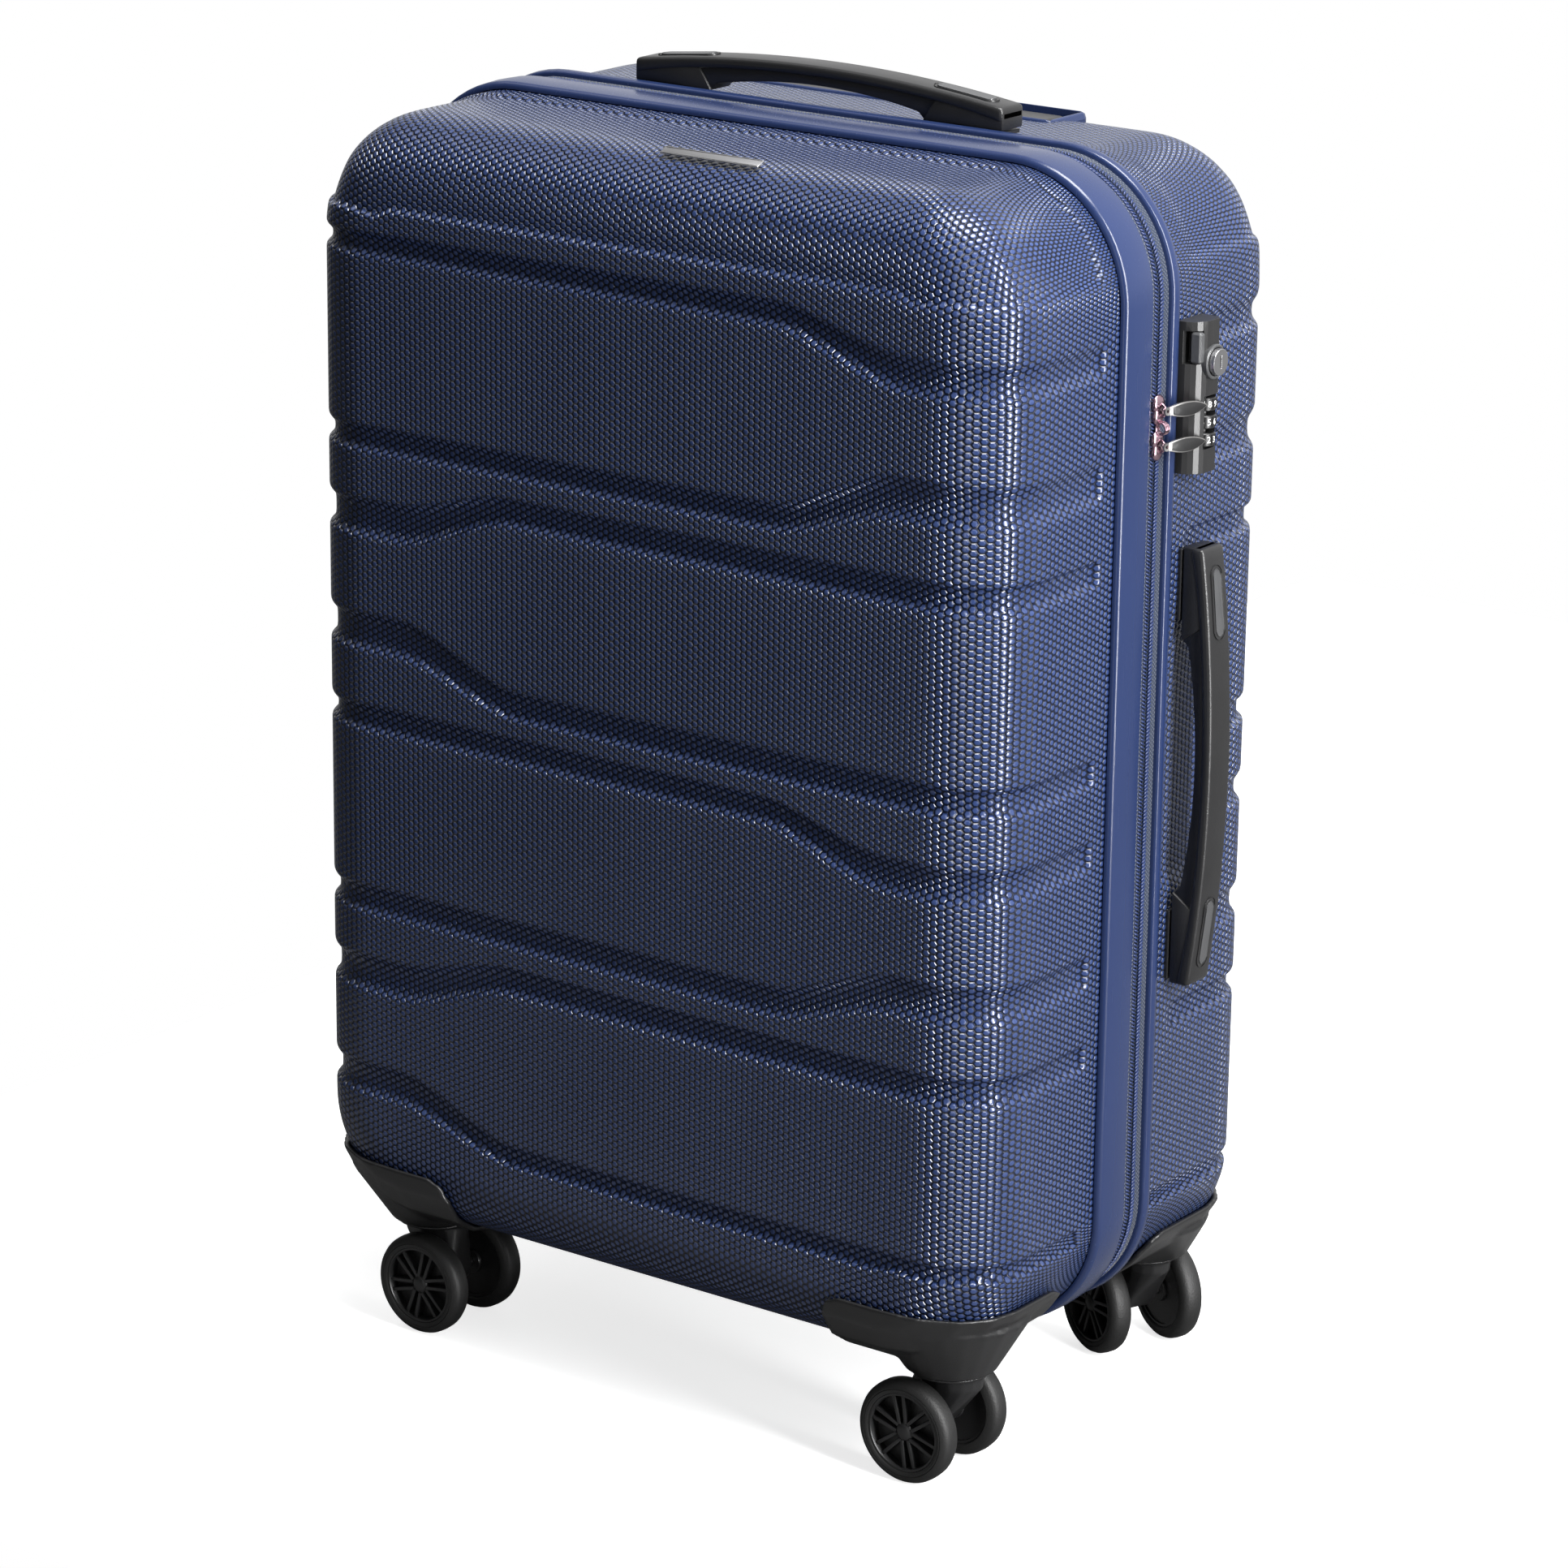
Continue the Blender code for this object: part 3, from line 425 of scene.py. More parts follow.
ALUMINIUM = metal_finish("aluminium", (0.700, 0.700, 0.720), 0.34, (2600.0, 2600.0, 30.0))
ROSE = metal_finish("rose_chrome", (0.420, 0.280, 0.330), 0.20, (300.0, 300.0, 300.0), 0.000004)


# ---------------------------------------------------------------- building

def smoothstep(low, high, value):
    t = max(0.0, min(1.0, (value - low) / (high - low)))
    return t * t * (3.0 - 2.0 * t)


def piece(name, bm, finish, body, replaces=(), at_case=True, angle=None):
    """Makes the finished object from a bmesh in the case's own coordinates, riding on its body."""
    if at_case:
        bmesh.ops.translate(bm, vec=ORIGIN, verts=bm.verts)
    mesh = bpy.data.meshes.new(name)
    bm.to_mesh(mesh)
    bm.free()
    made = bpy.data.objects.new(name, mesh)
    bpy.context.scene.collection.objects.link(made)
    for one in finish if isinstance(finish, (list, tuple)) else (finish,):
        mesh.materials.append(one)
    mesh.shade_smooth()
    if angle is not None:
        mesh.set_sharp_from_angle(angle=math.radians(angle))
    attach(made, body)
    if replaces:
        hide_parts(*replaces)
    return made


def modify(target, kind, name, **settings):
    made = target.modifiers.new(name, kind)
    for key, value in settings.items():
        setattr(made, key, value)
    return made


def subdivided(target):
    return modify(target, "SUBSURF", "smooth_skin", levels=1, render_levels=1)


def walled(target, wall):
    return modify(target, "SOLIDIFY", "wall", thickness=wall, offset=-1.0, use_even_offset=True)


def outward(bm):
    bmesh.ops.recalc_face_normals(bm, faces=bm.faces)


def placed(bm, matrix):
    bmesh.ops.transform(bm, matrix=matrix, verts=bm.verts)


def box_bm(low, high):
    bm = bmesh.new()
    bmesh.ops.create_cube(bm, size=1.0)
    bmesh.ops.scale(bm, vec=[b - a for a, b in zip(low, high)], verts=bm.verts)
    bmesh.ops.translate(bm, vec=[(a + b) / 2 for a, b in zip(low, high)], verts=bm.verts)
    return bm


def cut(bm, at, normal):
    everything = bm.verts[:] + bm.edges[:] + bm.faces[:]
    bmesh.ops.bisect_plane(bm, geom=everything, dist=1e-7, plane_co=at, plane_no=normal)


def step_across(x, first, last):
    """0 to 1 over a slanted step with softly rounded ends."""
    t = max(0.0, min(1.0, (x - first) / (last - first)))
    return 0.55 * t + 0.45 * t * t * (3.0 - 2.0 * t)


def levels_at(x):
    """Heights of the bands' edges, from the bottom of the shell to its top, at one x."""
    marks = [BOTTOM, 0.100]
    for upper, lower, upper_right, lower_right, first, last in reversed(BANDS):
        t = step_across(x, first, last)
        marks += [lower + (lower_right - lower) * t, upper + (upper_right - upper) * t]
    return marks + [CAP_LINE, TOP]


NOMINAL = levels_at(-1.0)


def warped(z, x):
    """A nominal height, measured at the left wall, moved to where the bands have it at x."""
    marks = levels_at(x)
    for low, high, now_low, now_high in zip(NOMINAL, NOMINAL[1:], marks, marks[1:]):
        if z <= high + 1e-9:
            return now_low + (now_high - now_low) * (z - low) / (high - low)
    return z


def pressed(z):
    """How far a nominal height is pressed in, from 0 to 1, by the bands."""
    for upper, lower, *_ in BANDS:
        if lower < z < upper:
            return min(smoothstep(0.0, UPPER_SLOPE, upper - z), smoothstep(0.0, LOWER_SLOPE, z - lower))
    return 0.0


def spread(marks, low, high, widest):
    """Fills the gaps between cut lines so that none is wider than this."""
    marks = sorted(set([low, high] + list(marks)))
    filled = []
    for a, b in zip(marks, marks[1:]):
        steps = max(1, math.ceil((b - a) / widest - 1e-6))
        filled += [a + (b - a) * i / steps for i in range(steps)]
    return [m for m in filled + [high] if low + 1e-6 < m < high - 1e-6]


def round_marks(radius, angles):
    return [radius * (1.0 - math.tan(math.radians(a))) for a in angles]


def merged(firm, soft, closest):
    """Firm cut lines, and those soft ones that aren't too close to a firm one."""
    kept = sorted(firm)
    for mark in sorted(soft):
        if all(abs(mark - other) > closest for other in kept):
            kept.append(mark)
    return sorted(kept)


def rounded_point(point, grow, face, inward, corner, edge):
    """A point of the sharp tub, moved to the tub with round corners and a round face edge."""
    x, y, z = point
    hold_x = max(-(HALF_WIDTH + grow - corner), min(HALF_WIDTH + grow - corner, x))
    hold_z = max(BOTTOM - grow + corner, min(TOP + grow - corner, z))
    off = Vector((x - hold_x, z - hold_z))
    reach = max(abs(off.x), abs(off.y))
    if reach < 1e-9:
        return Vector(point), Vector((x, z))
    inset, depth = corner - reach, abs(y - face)
    flat = corner - edge
    if reach < flat:
        run = reach
    elif depth < 1e-7:
        run = flat + EDGE_STRETCH * edge * math.atan2(reach - flat, edge)
    else:
        turned = math.pi / 2 - math.atan2(max(0.0, edge - depth), edge)
        run = flat + EDGE_STRETCH * edge * turned + WALL_STRETCH * max(0.0, depth - edge)
    if inset < edge and depth < edge:
        a, b = edge - inset, edge - depth
        long = math.hypot(a, b)
        inset, depth = edge - edge * a / long, edge - edge * b / long
    way = off.normalized()
    moved = way * (corner - inset)
    spread_out = Vector((hold_x, hold_z)) + way * run
    return Vector((hold_x + moved.x, face + inward * depth, hold_z + moved.y)), spread_out


def shell_rows():
    firm = []
    for upper, lower, *_ in BANDS:
        firm += [upper + 0.0022, upper - UPPER_SLOPE, lower + LOWER_SLOPE, lower - 0.0018]
        firm += [upper - UPPER_SLOPE * t for t in (0.0, 0.33, 0.66)]
        firm += [lower + LOWER_SLOPE * t for t in (0.0, 0.5)]
    firm += [CAP_LINE + t for t in (-0.0030, -0.0012, 0.0, 0.0012, 0.0030)]
    return firm


def no_depth(x, y, z):
    return 0.0


def shell_skin(mouth, face, edge, columns_y, depth_at=no_depth, rows=(), grow=0.0, widest=0.0115):
    """A tub of the case: pressed bands follow its rows, and depth_at tells how deep each point lies."""
    inward = 1.0 if mouth > face else -1.0
    half, low, high, corner = HALF_WIDTH + grow, BOTTOM - grow, TOP + grow, CORNER + grow
    bm = box_bm((-half, min(mouth, face), low), (half, max(mouth, face), high))
    lid = [f for f in bm.faces if abs(f.calc_center_median().y - mouth) < 1e-6]
    bmesh.ops.delete(bm, geom=lid, context="FACES_ONLY")
    edge_marks = round_marks(edge, (0.0, 13.0, 26.0, 38.0))
    ends = merged(edge_marks, round_marks(corner, (0.0, 11.0, 22.0, 33.0)), 0.0030)
    marks_x = [-half + m for m in ends] + [half - m for m in ends]
    if rows:
        steps = [x for band in BANDS for x in band[4:6]]
        marks_x = merged(marks_x, [s for s in steps if abs(s) < 0.15], 0.004)
    soft_z = [low + m for m in ends] + [high - m for m in ends]
    marks_z = merged(rows, soft_z, 0.0026)
    marks_y = merged([face + inward * m for m in edge_marks], columns_y, 0.0012)
    for x in spread(marks_x, -half, half, widest):
        cut(bm, (x, 0, 0), (1, 0, 0))
    for z in spread(marks_z, low, high, widest):
        cut(bm, (0, 0, z), (0, 0, 1))
    for y in spread(marks_y, min(mouth, face), max(mouth, face), widest):
        cut(bm, (0, y, 0), (0, 1, 0))
    layout = bm.loops.layers.uv.new("sheet")
    depths, sheet = {}, {}
    for vert in bm.verts:
        x, y, z = vert.co
        depths[vert] = depth_at(x, y, z)
        height = warped(z, x) if rows else z
        vert.co, sheet[vert] = rounded_point((x, y, height), grow, face, inward, corner, edge)
    for one in bm.faces:
        for loop in one.loops:
            loop[layout].uv = sheet[loop.vert]
    outward(bm)
    middle = Vector((0.0, mouth, (low + high) / 2))
    if sum((f.calc_center_median() - middle).dot(f.normal) * f.calc_area() for f in bm.faces) < 0:
        bmesh.ops.reverse_faces(bm, faces=bm.faces)
    bm.normal_update()
    pushes = [(vert, vert.normal * depths[vert]) for vert in bm.verts if depths[vert] > 0.0]
    for vert, push in pushes:
        vert.co -= push
    return bm


def cap_depth(z):
    return (
        CAP_DEPTH
        * smoothstep(CAP_LINE - 0.0016, CAP_LINE + 0.0016, z)
        * (1.0 - 0.35 * smoothstep(0.63, 0.67, z))
    )


def front_depth(x, y, z):
    """The bands and the lowered cap run round the walls and stop short of the rim."""
    reach = 1.0 - smoothstep(FRONT_BANDS_END - 0.0006, FRONT_BANDS_END + 0.0006, y)
    slot = max(0.0, 1.0 - abs(y - FRONT_BANDS_END + 0.0014) / 0.0012)
    return reach * max(BAND_DEPTH * pressed(z), cap_depth(z)) + BAND_END_SLOT * slot * pressed(z)


def rear_depth(x, y, z):
    """As on the front half, and a finger pocket behind the side handle."""
    lowest = z < BANDS[-1][0] + 0.001
    start = 0.0535 if lowest else REAR_BANDS_START
    reach = smoothstep(start - 0.0015, start + (0.0015 if lowest else 0.0090), y)
    deep = reach * max(BAND_DEPTH * pressed(z), cap_depth(z))
    if x > HALF_WIDTH - 0.001:
        height = smoothstep(0.294, 0.304, z) * (1.0 - smoothstep(0.424, 0.434, z))
        width = smoothstep(0.0500, 0.0540, y) * (1.0 - smoothstep(0.092, 0.112, y))
        deep = max(deep, 0.0034 * height * width)
    return deep


def front_shell():
    columns = [FRONT_BANDS_END + d for d in (-0.0038, -0.0026, -0.0014, -0.0002, 0.0010, 0.0026)]
    bm = shell_skin(FRONT_RIM[1], FRONT, FRONT_EDGE, columns, front_depth, shell_rows())
    made = piece("front_shell_skin", bm, NAVY, "front_case", ("front_shell",))
    walled(made, SHELL_WALL)
    subdivided(made)
    return made


def rear_shell():
    columns = [0.0505, 0.0520, 0.0535, 0.0550, 0.0570, 0.0645, 0.0660, 0.0690, 0.0720, 0.0750]
    cup_low, cup_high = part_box("trolley_cup")
    room = (cup_low.y - ORIGIN.y - 0.0006, cup_high.y - ORIGIN.y + 0.0006)
    bm = shell_skin(REAR_RIM[0] - 0.0003, BACK, BACK_EDGE, columns + list(room), rear_depth, shell_rows())
    side = cup_high.x - ORIGIN.x + 0.0006
    cut_faces = [f for f in bm.faces if f.normal.z > 0.7 and abs(f.calc_center_median().x) < side
                 and room[0] < f.calc_center_median().y < room[1]]
    bmesh.ops.delete(bm, geom=cut_faces, context="FACES")
    made = piece("rear_shell_skin", bm, NAVY, "rear_case", ("rear_shell",))
    walled(made, SHELL_WALL)
    subdivided(made)
    return made


def outline(corner_steps=10, side_step=0.02):
    """The case's outline as hold points and outward directions, once round."""
    found = []
    hold_x, low, high = HALF_WIDTH - CORNER, BOTTOM + CORNER, TOP - CORNER
    corners = (
        ((hold_x, high), 90.0),
        ((hold_x, low), 0.0),
        ((-hold_x, low), -90.0),
        ((-hold_x, high), -180.0),
    )
    for index, ((x, z), start) in enumerate(corners):
        for i in range(corner_steps + 1):
            turn = math.radians(start - 90.0 * i / corner_steps)
            found.append((Vector((x, z)), Vector((math.cos(turn), math.sin(turn)))))
        (next_x, next_z), _ = corners[(index + 1) % 4]
        run = Vector((next_x - x, next_z - z))
        steps = max(1, round(run.length / side_step))
        turn = math.radians(start - 90.0)
        way = Vector((math.cos(turn), math.sin(turn)))
        found += [(Vector((x, z)) + run * (i / steps), way) for i in range(1, steps)]
    return found


def swept_band(profile, ring=None):
    """A ring round the case with this section: each (y, how far out from the shell's outline)."""
    ring = ring or outline()
    bm = bmesh.new()
    bmesh.ops.create_circle(bm, segments=len(ring), radius=1.0)
    bm.verts.ensure_lookup_table()
    layout = bm.loops.layers.uv.new("sheet")
    around = [0.0]
    for (a, way_a), (b, way_b) in zip(ring, ring[1:] + ring[:1]):
        around.append(around[-1] + ((b + way_b * CORNER) - (a + way_a * CORNER)).length)
    count = len(ring)

    def put(verts, y, out):
        for vert, (hold, way) in zip(verts, ring):
            at = hold + way * (CORNER + out)
            vert.co = (at.x, y, at.y)

    rows = [bm.verts[:]]
    put(rows[0], *profile[0])
    edges = bm.edges[:]
    for y, out in profile[1:]:
        bm.edges.ensure_lookup_table()
        made = bmesh.ops.extrude_edge_only(bm, edges=edges)
        edges = [e for e in made["geom"] if isinstance(e, bmesh.types.BMEdge)]
        before = rows[-1]
        fresh = {v for v in made["geom"] if isinstance(v, bmesh.types.BMVert)}
        row = []
        for vert in before:
            row.append(next(e.other_vert(vert) for e in vert.link_edges if e.other_vert(vert) in fresh))
        put(row, y, out)
        rows.append(row)
    bmesh.ops.bridge_loops(bm, edges=[e for e in bm.edges if e.is_boundary])
    place = {}
    run = 0.0
    for number, row in enumerate(rows):
        if number:
            run += math.dist(profile[number], profile[number - 1])
        for index, vert in enumerate(row):
            place[vert] = (index, run)
    for one in bm.faces:
        indices = [place[loop.vert][0] for loop in one.loops]
        wraps = max(indices) - min(indices) > 1
        for loop in one.loops:
            index, across = place[loop.vert]
            if wraps and index == 0:
                index = count
            loop[layout].uv = (around[index], across)
    outward(bm)
    return bm


def rim(name, span, shoulder_front, shoulder_back, body, node_name):
    low, high = span
    crown = RIM_PROUD - 0.0002
    section = [(low, 0.0006)]
    for step in range(5):
        turn = math.radians(22.5 * step)
        section.append((
            low + shoulder_front * (1 - math.cos(turn)),
            crown - 0.0004 - shoulder_front * (1 - math.sin(turn)),
        ))
    section += [((low + high) / 2, crown)]
    for step in range(4, -1, -1):
        turn = math.radians(22.5 * step)
        section.append((
            high - shoulder_back * (1 - math.cos(turn)),
            crown - 0.0004 - shoulder_back * (1 - math.sin(turn)),
        ))
    section += [(high, 0.0006)]
    bm = swept_band(section, ring=outline(16, 0.03))
    return piece(name, bm, RIM_BLUE, body, (node_name,), angle=50)


def dress(node_name, finish, rounding=None):
    """A CAD node that keeps its shape and gets a finish, and softened edges where it has sharp ones."""
    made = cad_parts[node_name]
    made.data.materials.clear()
    made.data.materials.append(finish)
    if rounding:
        modify(made, "WELD", "closed_seams", merge_threshold=0.00001)
        modify(made, "BEVEL", "softened_edges", width=rounding, segments=2, limit_method="ANGLE",
               angle_limit=math.radians(35.0))
    return made


def moulded_copy(name, node_name, finish, body, voxel, rounds):
    """A CAD node's shape with its facets melted into one smooth moulding."""
    bm = bmesh.new()
    bm.from_mesh(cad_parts[node_name].data)
    bmesh.ops.remove_doubles(bm, verts=bm.verts, dist=1e-6)
    made = piece(name, bm, finish, body, (node_name,), at_case=False)
    modify(made, "REMESH", "one_skin", mode="VOXEL", voxel_size=voxel, use_smooth_shade=True)
    modify(made, "SMOOTH", "melted_edges", factor=0.5, iterations=rounds)
    return made


def prism_bm(points, half, frame_matrix):
    """A flat outline thickened to both sides, then placed by a matrix whose Z is the thickness."""
    bm = bmesh.new()
    face = bm.faces.new([bm.verts.new((u, v, -half)) for u, v in points])
    raised = bmesh.ops.extrude_face_region(bm, geom=[face])
    top = [item for item in raised["geom"] if isinstance(item, bmesh.types.BMVert)]
    bmesh.ops.translate(bm, vec=(0, 0, 2 * half), verts=top)
    placed(bm, frame_matrix)
    outward(bm)
    return bm


def bevelled(bm, width, segments=2):
    sharp = [e for e in bm.edges if e.is_manifold and e.calc_face_angle(0.0) > math.radians(30.0)]
    bmesh.ops.bevel(bm, geom=sharp, offset=width, affect="EDGES", segments=segments, profile=0.5, material=-1,
                    clamp_overlap=True)
    return bm


def joined(target, extra, index=0):
    """Adds one bmesh to another, its faces given a material index."""
    for one in extra.faces:
        one.material_index = index
    held = bpy.data.meshes.new("held")
    extra.to_mesh(held)
    extra.free()
    target.from_mesh(held)
    bpy.data.meshes.remove(held)
    return target


def spun(profile, steps, matrix=None):
    """Turned about Z from (radius, height) points."""
    bm = bmesh.new()
    ring = [bm.verts.new((r, 0, z)) for r, z in profile]
    edges = [bm.edges.new(pair) for pair in zip(ring, ring[1:])]
    bmesh.ops.spin(bm, geom=ring + edges, cent=(0, 0, 0), axis=(0, 0, 1), angle=2 * math.pi, steps=steps,
                   use_merge=True)
    bmesh.ops.remove_doubles(bm, verts=bm.verts, dist=1e-6)
    outward(bm)
    if matrix is not None:
        placed(bm, matrix)
    return bm


def flat_sheet_uv(bm, first, second):
    """Lays the weave flat along two directions."""
    layout = bm.loops.layers.uv.get("sheet") or bm.loops.layers.uv.new("sheet")
    for one in bm.faces:
        for loop in one.loops:
            loop[layout].uv = (loop.vert.co.dot(first), loop.vert.co.dot(second))
    return bm


# ---------------------------------------------------------------- seam, lining and straps

def zip_tape(name, span, body, node_name):
    """Ribbed tape beside the rim, a little lower at the zip's coil."""
    rim_side, coil_side = span
    section = ((rim_side, 0.0014), (rim_side * 0.5 + coil_side * 0.5, 0.0012), (coil_side, 0.0002),
               (coil_side, -0.0012), (rim_side, -0.0012))
    if rim_side > coil_side:
        section = tuple(reversed(section))
    bm = swept_band(section, ring=outline(14, 0.02))
    return piece(name, bm, TAPE, body, (node_name,), angle=40)


COIL_PITCH = 0.0019


def zip_coil(name, side, body):
    """One half's row of coil teeth, each a small bead that leans along the seam."""
    tooth = bmesh.new()
    bmesh.ops.create_icosphere(tooth, subdivisions=1, radius=1.0)
    bmesh.ops.scale(tooth, vec=(0.00066, 0.0024, 0.0009), verts=tooth.verts)
    bmesh.ops.rotate(tooth, cent=(0, 0, 0), matrix=Matrix.Rotation(side * 0.5, 3, "Z"), verts=tooth.verts)
    mesh = bpy.data.meshes.new("tooth")
    tooth.to_mesh(mesh)
    tooth.free()
    ring = outline(12, 0.02)
    points = [hold + way * CORNER for hold, way in ring]
    bm = bmesh.new()
    left_over = 0.0
    for index, ((_, way), start) in enumerate(zip(ring, points)):
        stop = points[(index + 1) % len(points)]
        next_way = ring[(index + 1) % len(points)][1]
        length = (stop - start).length
        along = (stop - start) / length
        at = left_over
        while at < length:
            out = way.lerp(next_way, at / length).normalized()
            spot = start + along * at + out * 0.0012
            place = Matrix(((along.x, 0, out.x, spot.x), (0, 1, 0, SEAM + side * 0.0025),
                            (along.y, 0, out.y, spot.y), (0, 0, 0, 1)))
            mesh.transform(place)
            bm.from_mesh(mesh)
            mesh.transform(place.inverted())
            at += COIL_PITCH
        left_over = at - length
    bpy.data.meshes.remove(mesh)
    outward(bm)
    return piece(name, bm, COIL, body)


def hinge_cloth():
    """Folded fabric along the opening edge: it follows the rear half, and bends over to the front one."""
    hinge_low, hinge_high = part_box("hinge_tape")
    out = -(hinge_low.x - ORIGIN.x) - HALF_WIDTH
    bm = bmesh.new()
    bmesh.ops.create_grid(bm, x_segments=24, y_segments=60, size=0.5)
    height = hinge_high.z - hinge_low.z
    for vert in bm.verts:
        t = vert.co.x
        run = -(
            HALF_WIDTH + 0.0012 + (out - 0.0022) * math.cos(math.pi * t) ** 0.8
            if abs(t) < 0.499
            else HALF_WIDTH + 0.0012
        )
        ripple = 0.00016 * math.sin(vert.co.y * height * 420.0) * math.cos(math.pi * t)
        vert.co = (run + ripple, SEAM + 0.0150 * t, hinge_low.z + height * (vert.co.y + 0.5))
    outward(bm)
    if sum(f.normal.x for f in bm.faces) > 0:
        bmesh.ops.reverse_faces(bm, faces=bm.faces)
    flat_sheet_uv(bm, Vector((0, 1, 0)), Vector((0, 0, 1)))
    bmesh.ops.translate(bm, vec=ORIGIN, verts=bm.verts)
    mesh = bpy.data.meshes.new("hinge_cloth")
    bmesh.ops.solidify(bm, geom=bm.faces[:], thickness=0.0008)
    bm.to_mesh(mesh)
    bm.free()
    made = bpy.data.objects.new("hinge_cloth", mesh)
    bpy.context.scene.collection.objects.link(made)
    mesh.materials.append(TAPE)
    mesh.shade_smooth()
    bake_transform(made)
    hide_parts("hinge_tape")
    return made


LINING_INSET = 0.0064
LINING_BACK = 0.1110


def pucker(x, y, z):
    """Shallow hollows of cloth held at its edges."""
    wave = math.sin(x * 38.0 + 1.3 * math.sin(z * 17.0)) * math.sin(z * 29.0 + 0.8 * math.sin(x * 21.0))
    return 0.0007 * (1.0 + wave)


def linings():
    grow = -LINING_INSET
    front_depth_room = FRONT + LINING_INSET
    bm = shell_skin(FRONT_RIM[1] - 0.0006, front_depth_room, FRONT_EDGE + grow, (), pucker,
                    grow=grow, widest=0.018)
    front = piece("front_lining_cloth", bm, LINING, "front_case", ("front_lining",))
    bm = shell_skin(REAR_RIM[0] + 0.0004, LINING_BACK, 0.0120, (), pucker, grow=grow, widest=0.018)
    rear = piece("rear_lining_cloth", bm, LINING, "rear_case", ("rear_lining",))
    for made in (front, rear):
        modify(made, "SOLIDIFY", "cloth", thickness=0.0008, offset=-1.0, use_even_offset=True)
        subdivided(made)
    for name, y, body in (("front_lining_binding", FRONT_RIM[1] - 0.0022, "front_case"),
                          ("rear_lining_binding", REAR_RIM[0] + 0.0020, "rear_case")):
        section = [(y + 0.0016 * math.cos(a), -0.0052 + 0.0016 * math.sin(a))
                   for a in [math.radians(45.0 * i) for i in range(8)]]
        piece(name, swept_band(section, ring=outline(10, 0.03)), STRAP, body)
    pocket_and_seams()


def pocket_and_seams():
    """A gathered pocket on the front half's lining."""
    low, high, half = 0.150, 0.360, 0.150
    bm = bmesh.new()
    bmesh.ops.create_grid(bm, x_segments=60, y_segments=24, size=0.5)
    face = FRONT + LINING_INSET + 0.0012
    for vert in bm.verts:
        u, v = vert.co.x, vert.co.y
        edge = min(1.0, 8.0 * (0.5 - abs(u))) * min(1.0, 5.0 * (v + 0.5))
        gather = 0.0016 * math.sin(u * 120.0 + 2.0 * math.sin(u * 31.0)) * smoothstep(-0.5, 0.5, v)
        bulge = 0.0080 * math.sqrt(max(0.0, edge)) * (0.35 + 0.65 * (v + 0.5)) + gather * edge
        vert.co = (u * 2 * half, face + bulge, low + (high - low) * (v + 0.5))
    outward(bm)
    if sum(f.normal.y for f in bm.faces) < 0:
        bmesh.ops.reverse_faces(bm, faces=bm.faces)
    flat_sheet_uv(bm, Vector((1, 0, 0)), Vector((0, 0, 1)))
    pocket = piece("front_pocket", bm, LINING, "front_case")
    modify(pocket, "SOLIDIFY", "cloth", thickness=0.0010, offset=-1.0)
    hem = box_bm((-half, face + 0.0066, high - 0.004), (half, face + 0.0098, high + 0.008))
    for step in range(1, 40):
        cut(hem, (-half + 2 * half * step / 40, 0, 0), (1, 0, 0))
    for vert in hem.verts:
        u = vert.co.x / (2 * half)
        fall = min(1.0, 8.0 * (0.5 - abs(u)))
        vert.co.y -= (1.0 - math.sqrt(max(0.0, fall))) * 0.0076
        vert.co.z += 0.0007 * math.sin(u * 120.0 + 2.0 * math.sin(u * 31.0))
    flat_sheet_uv(hem, Vector((1, 0, 0)), Vector((0, 0, 1)))
    bevelled(hem, 0.0008, 2)
    piece("front_pocket_hem", hem, STRAP, "front_case", angle=40)


STRAP_Y = 0.0475
STRAP_WIDE = 0.0230


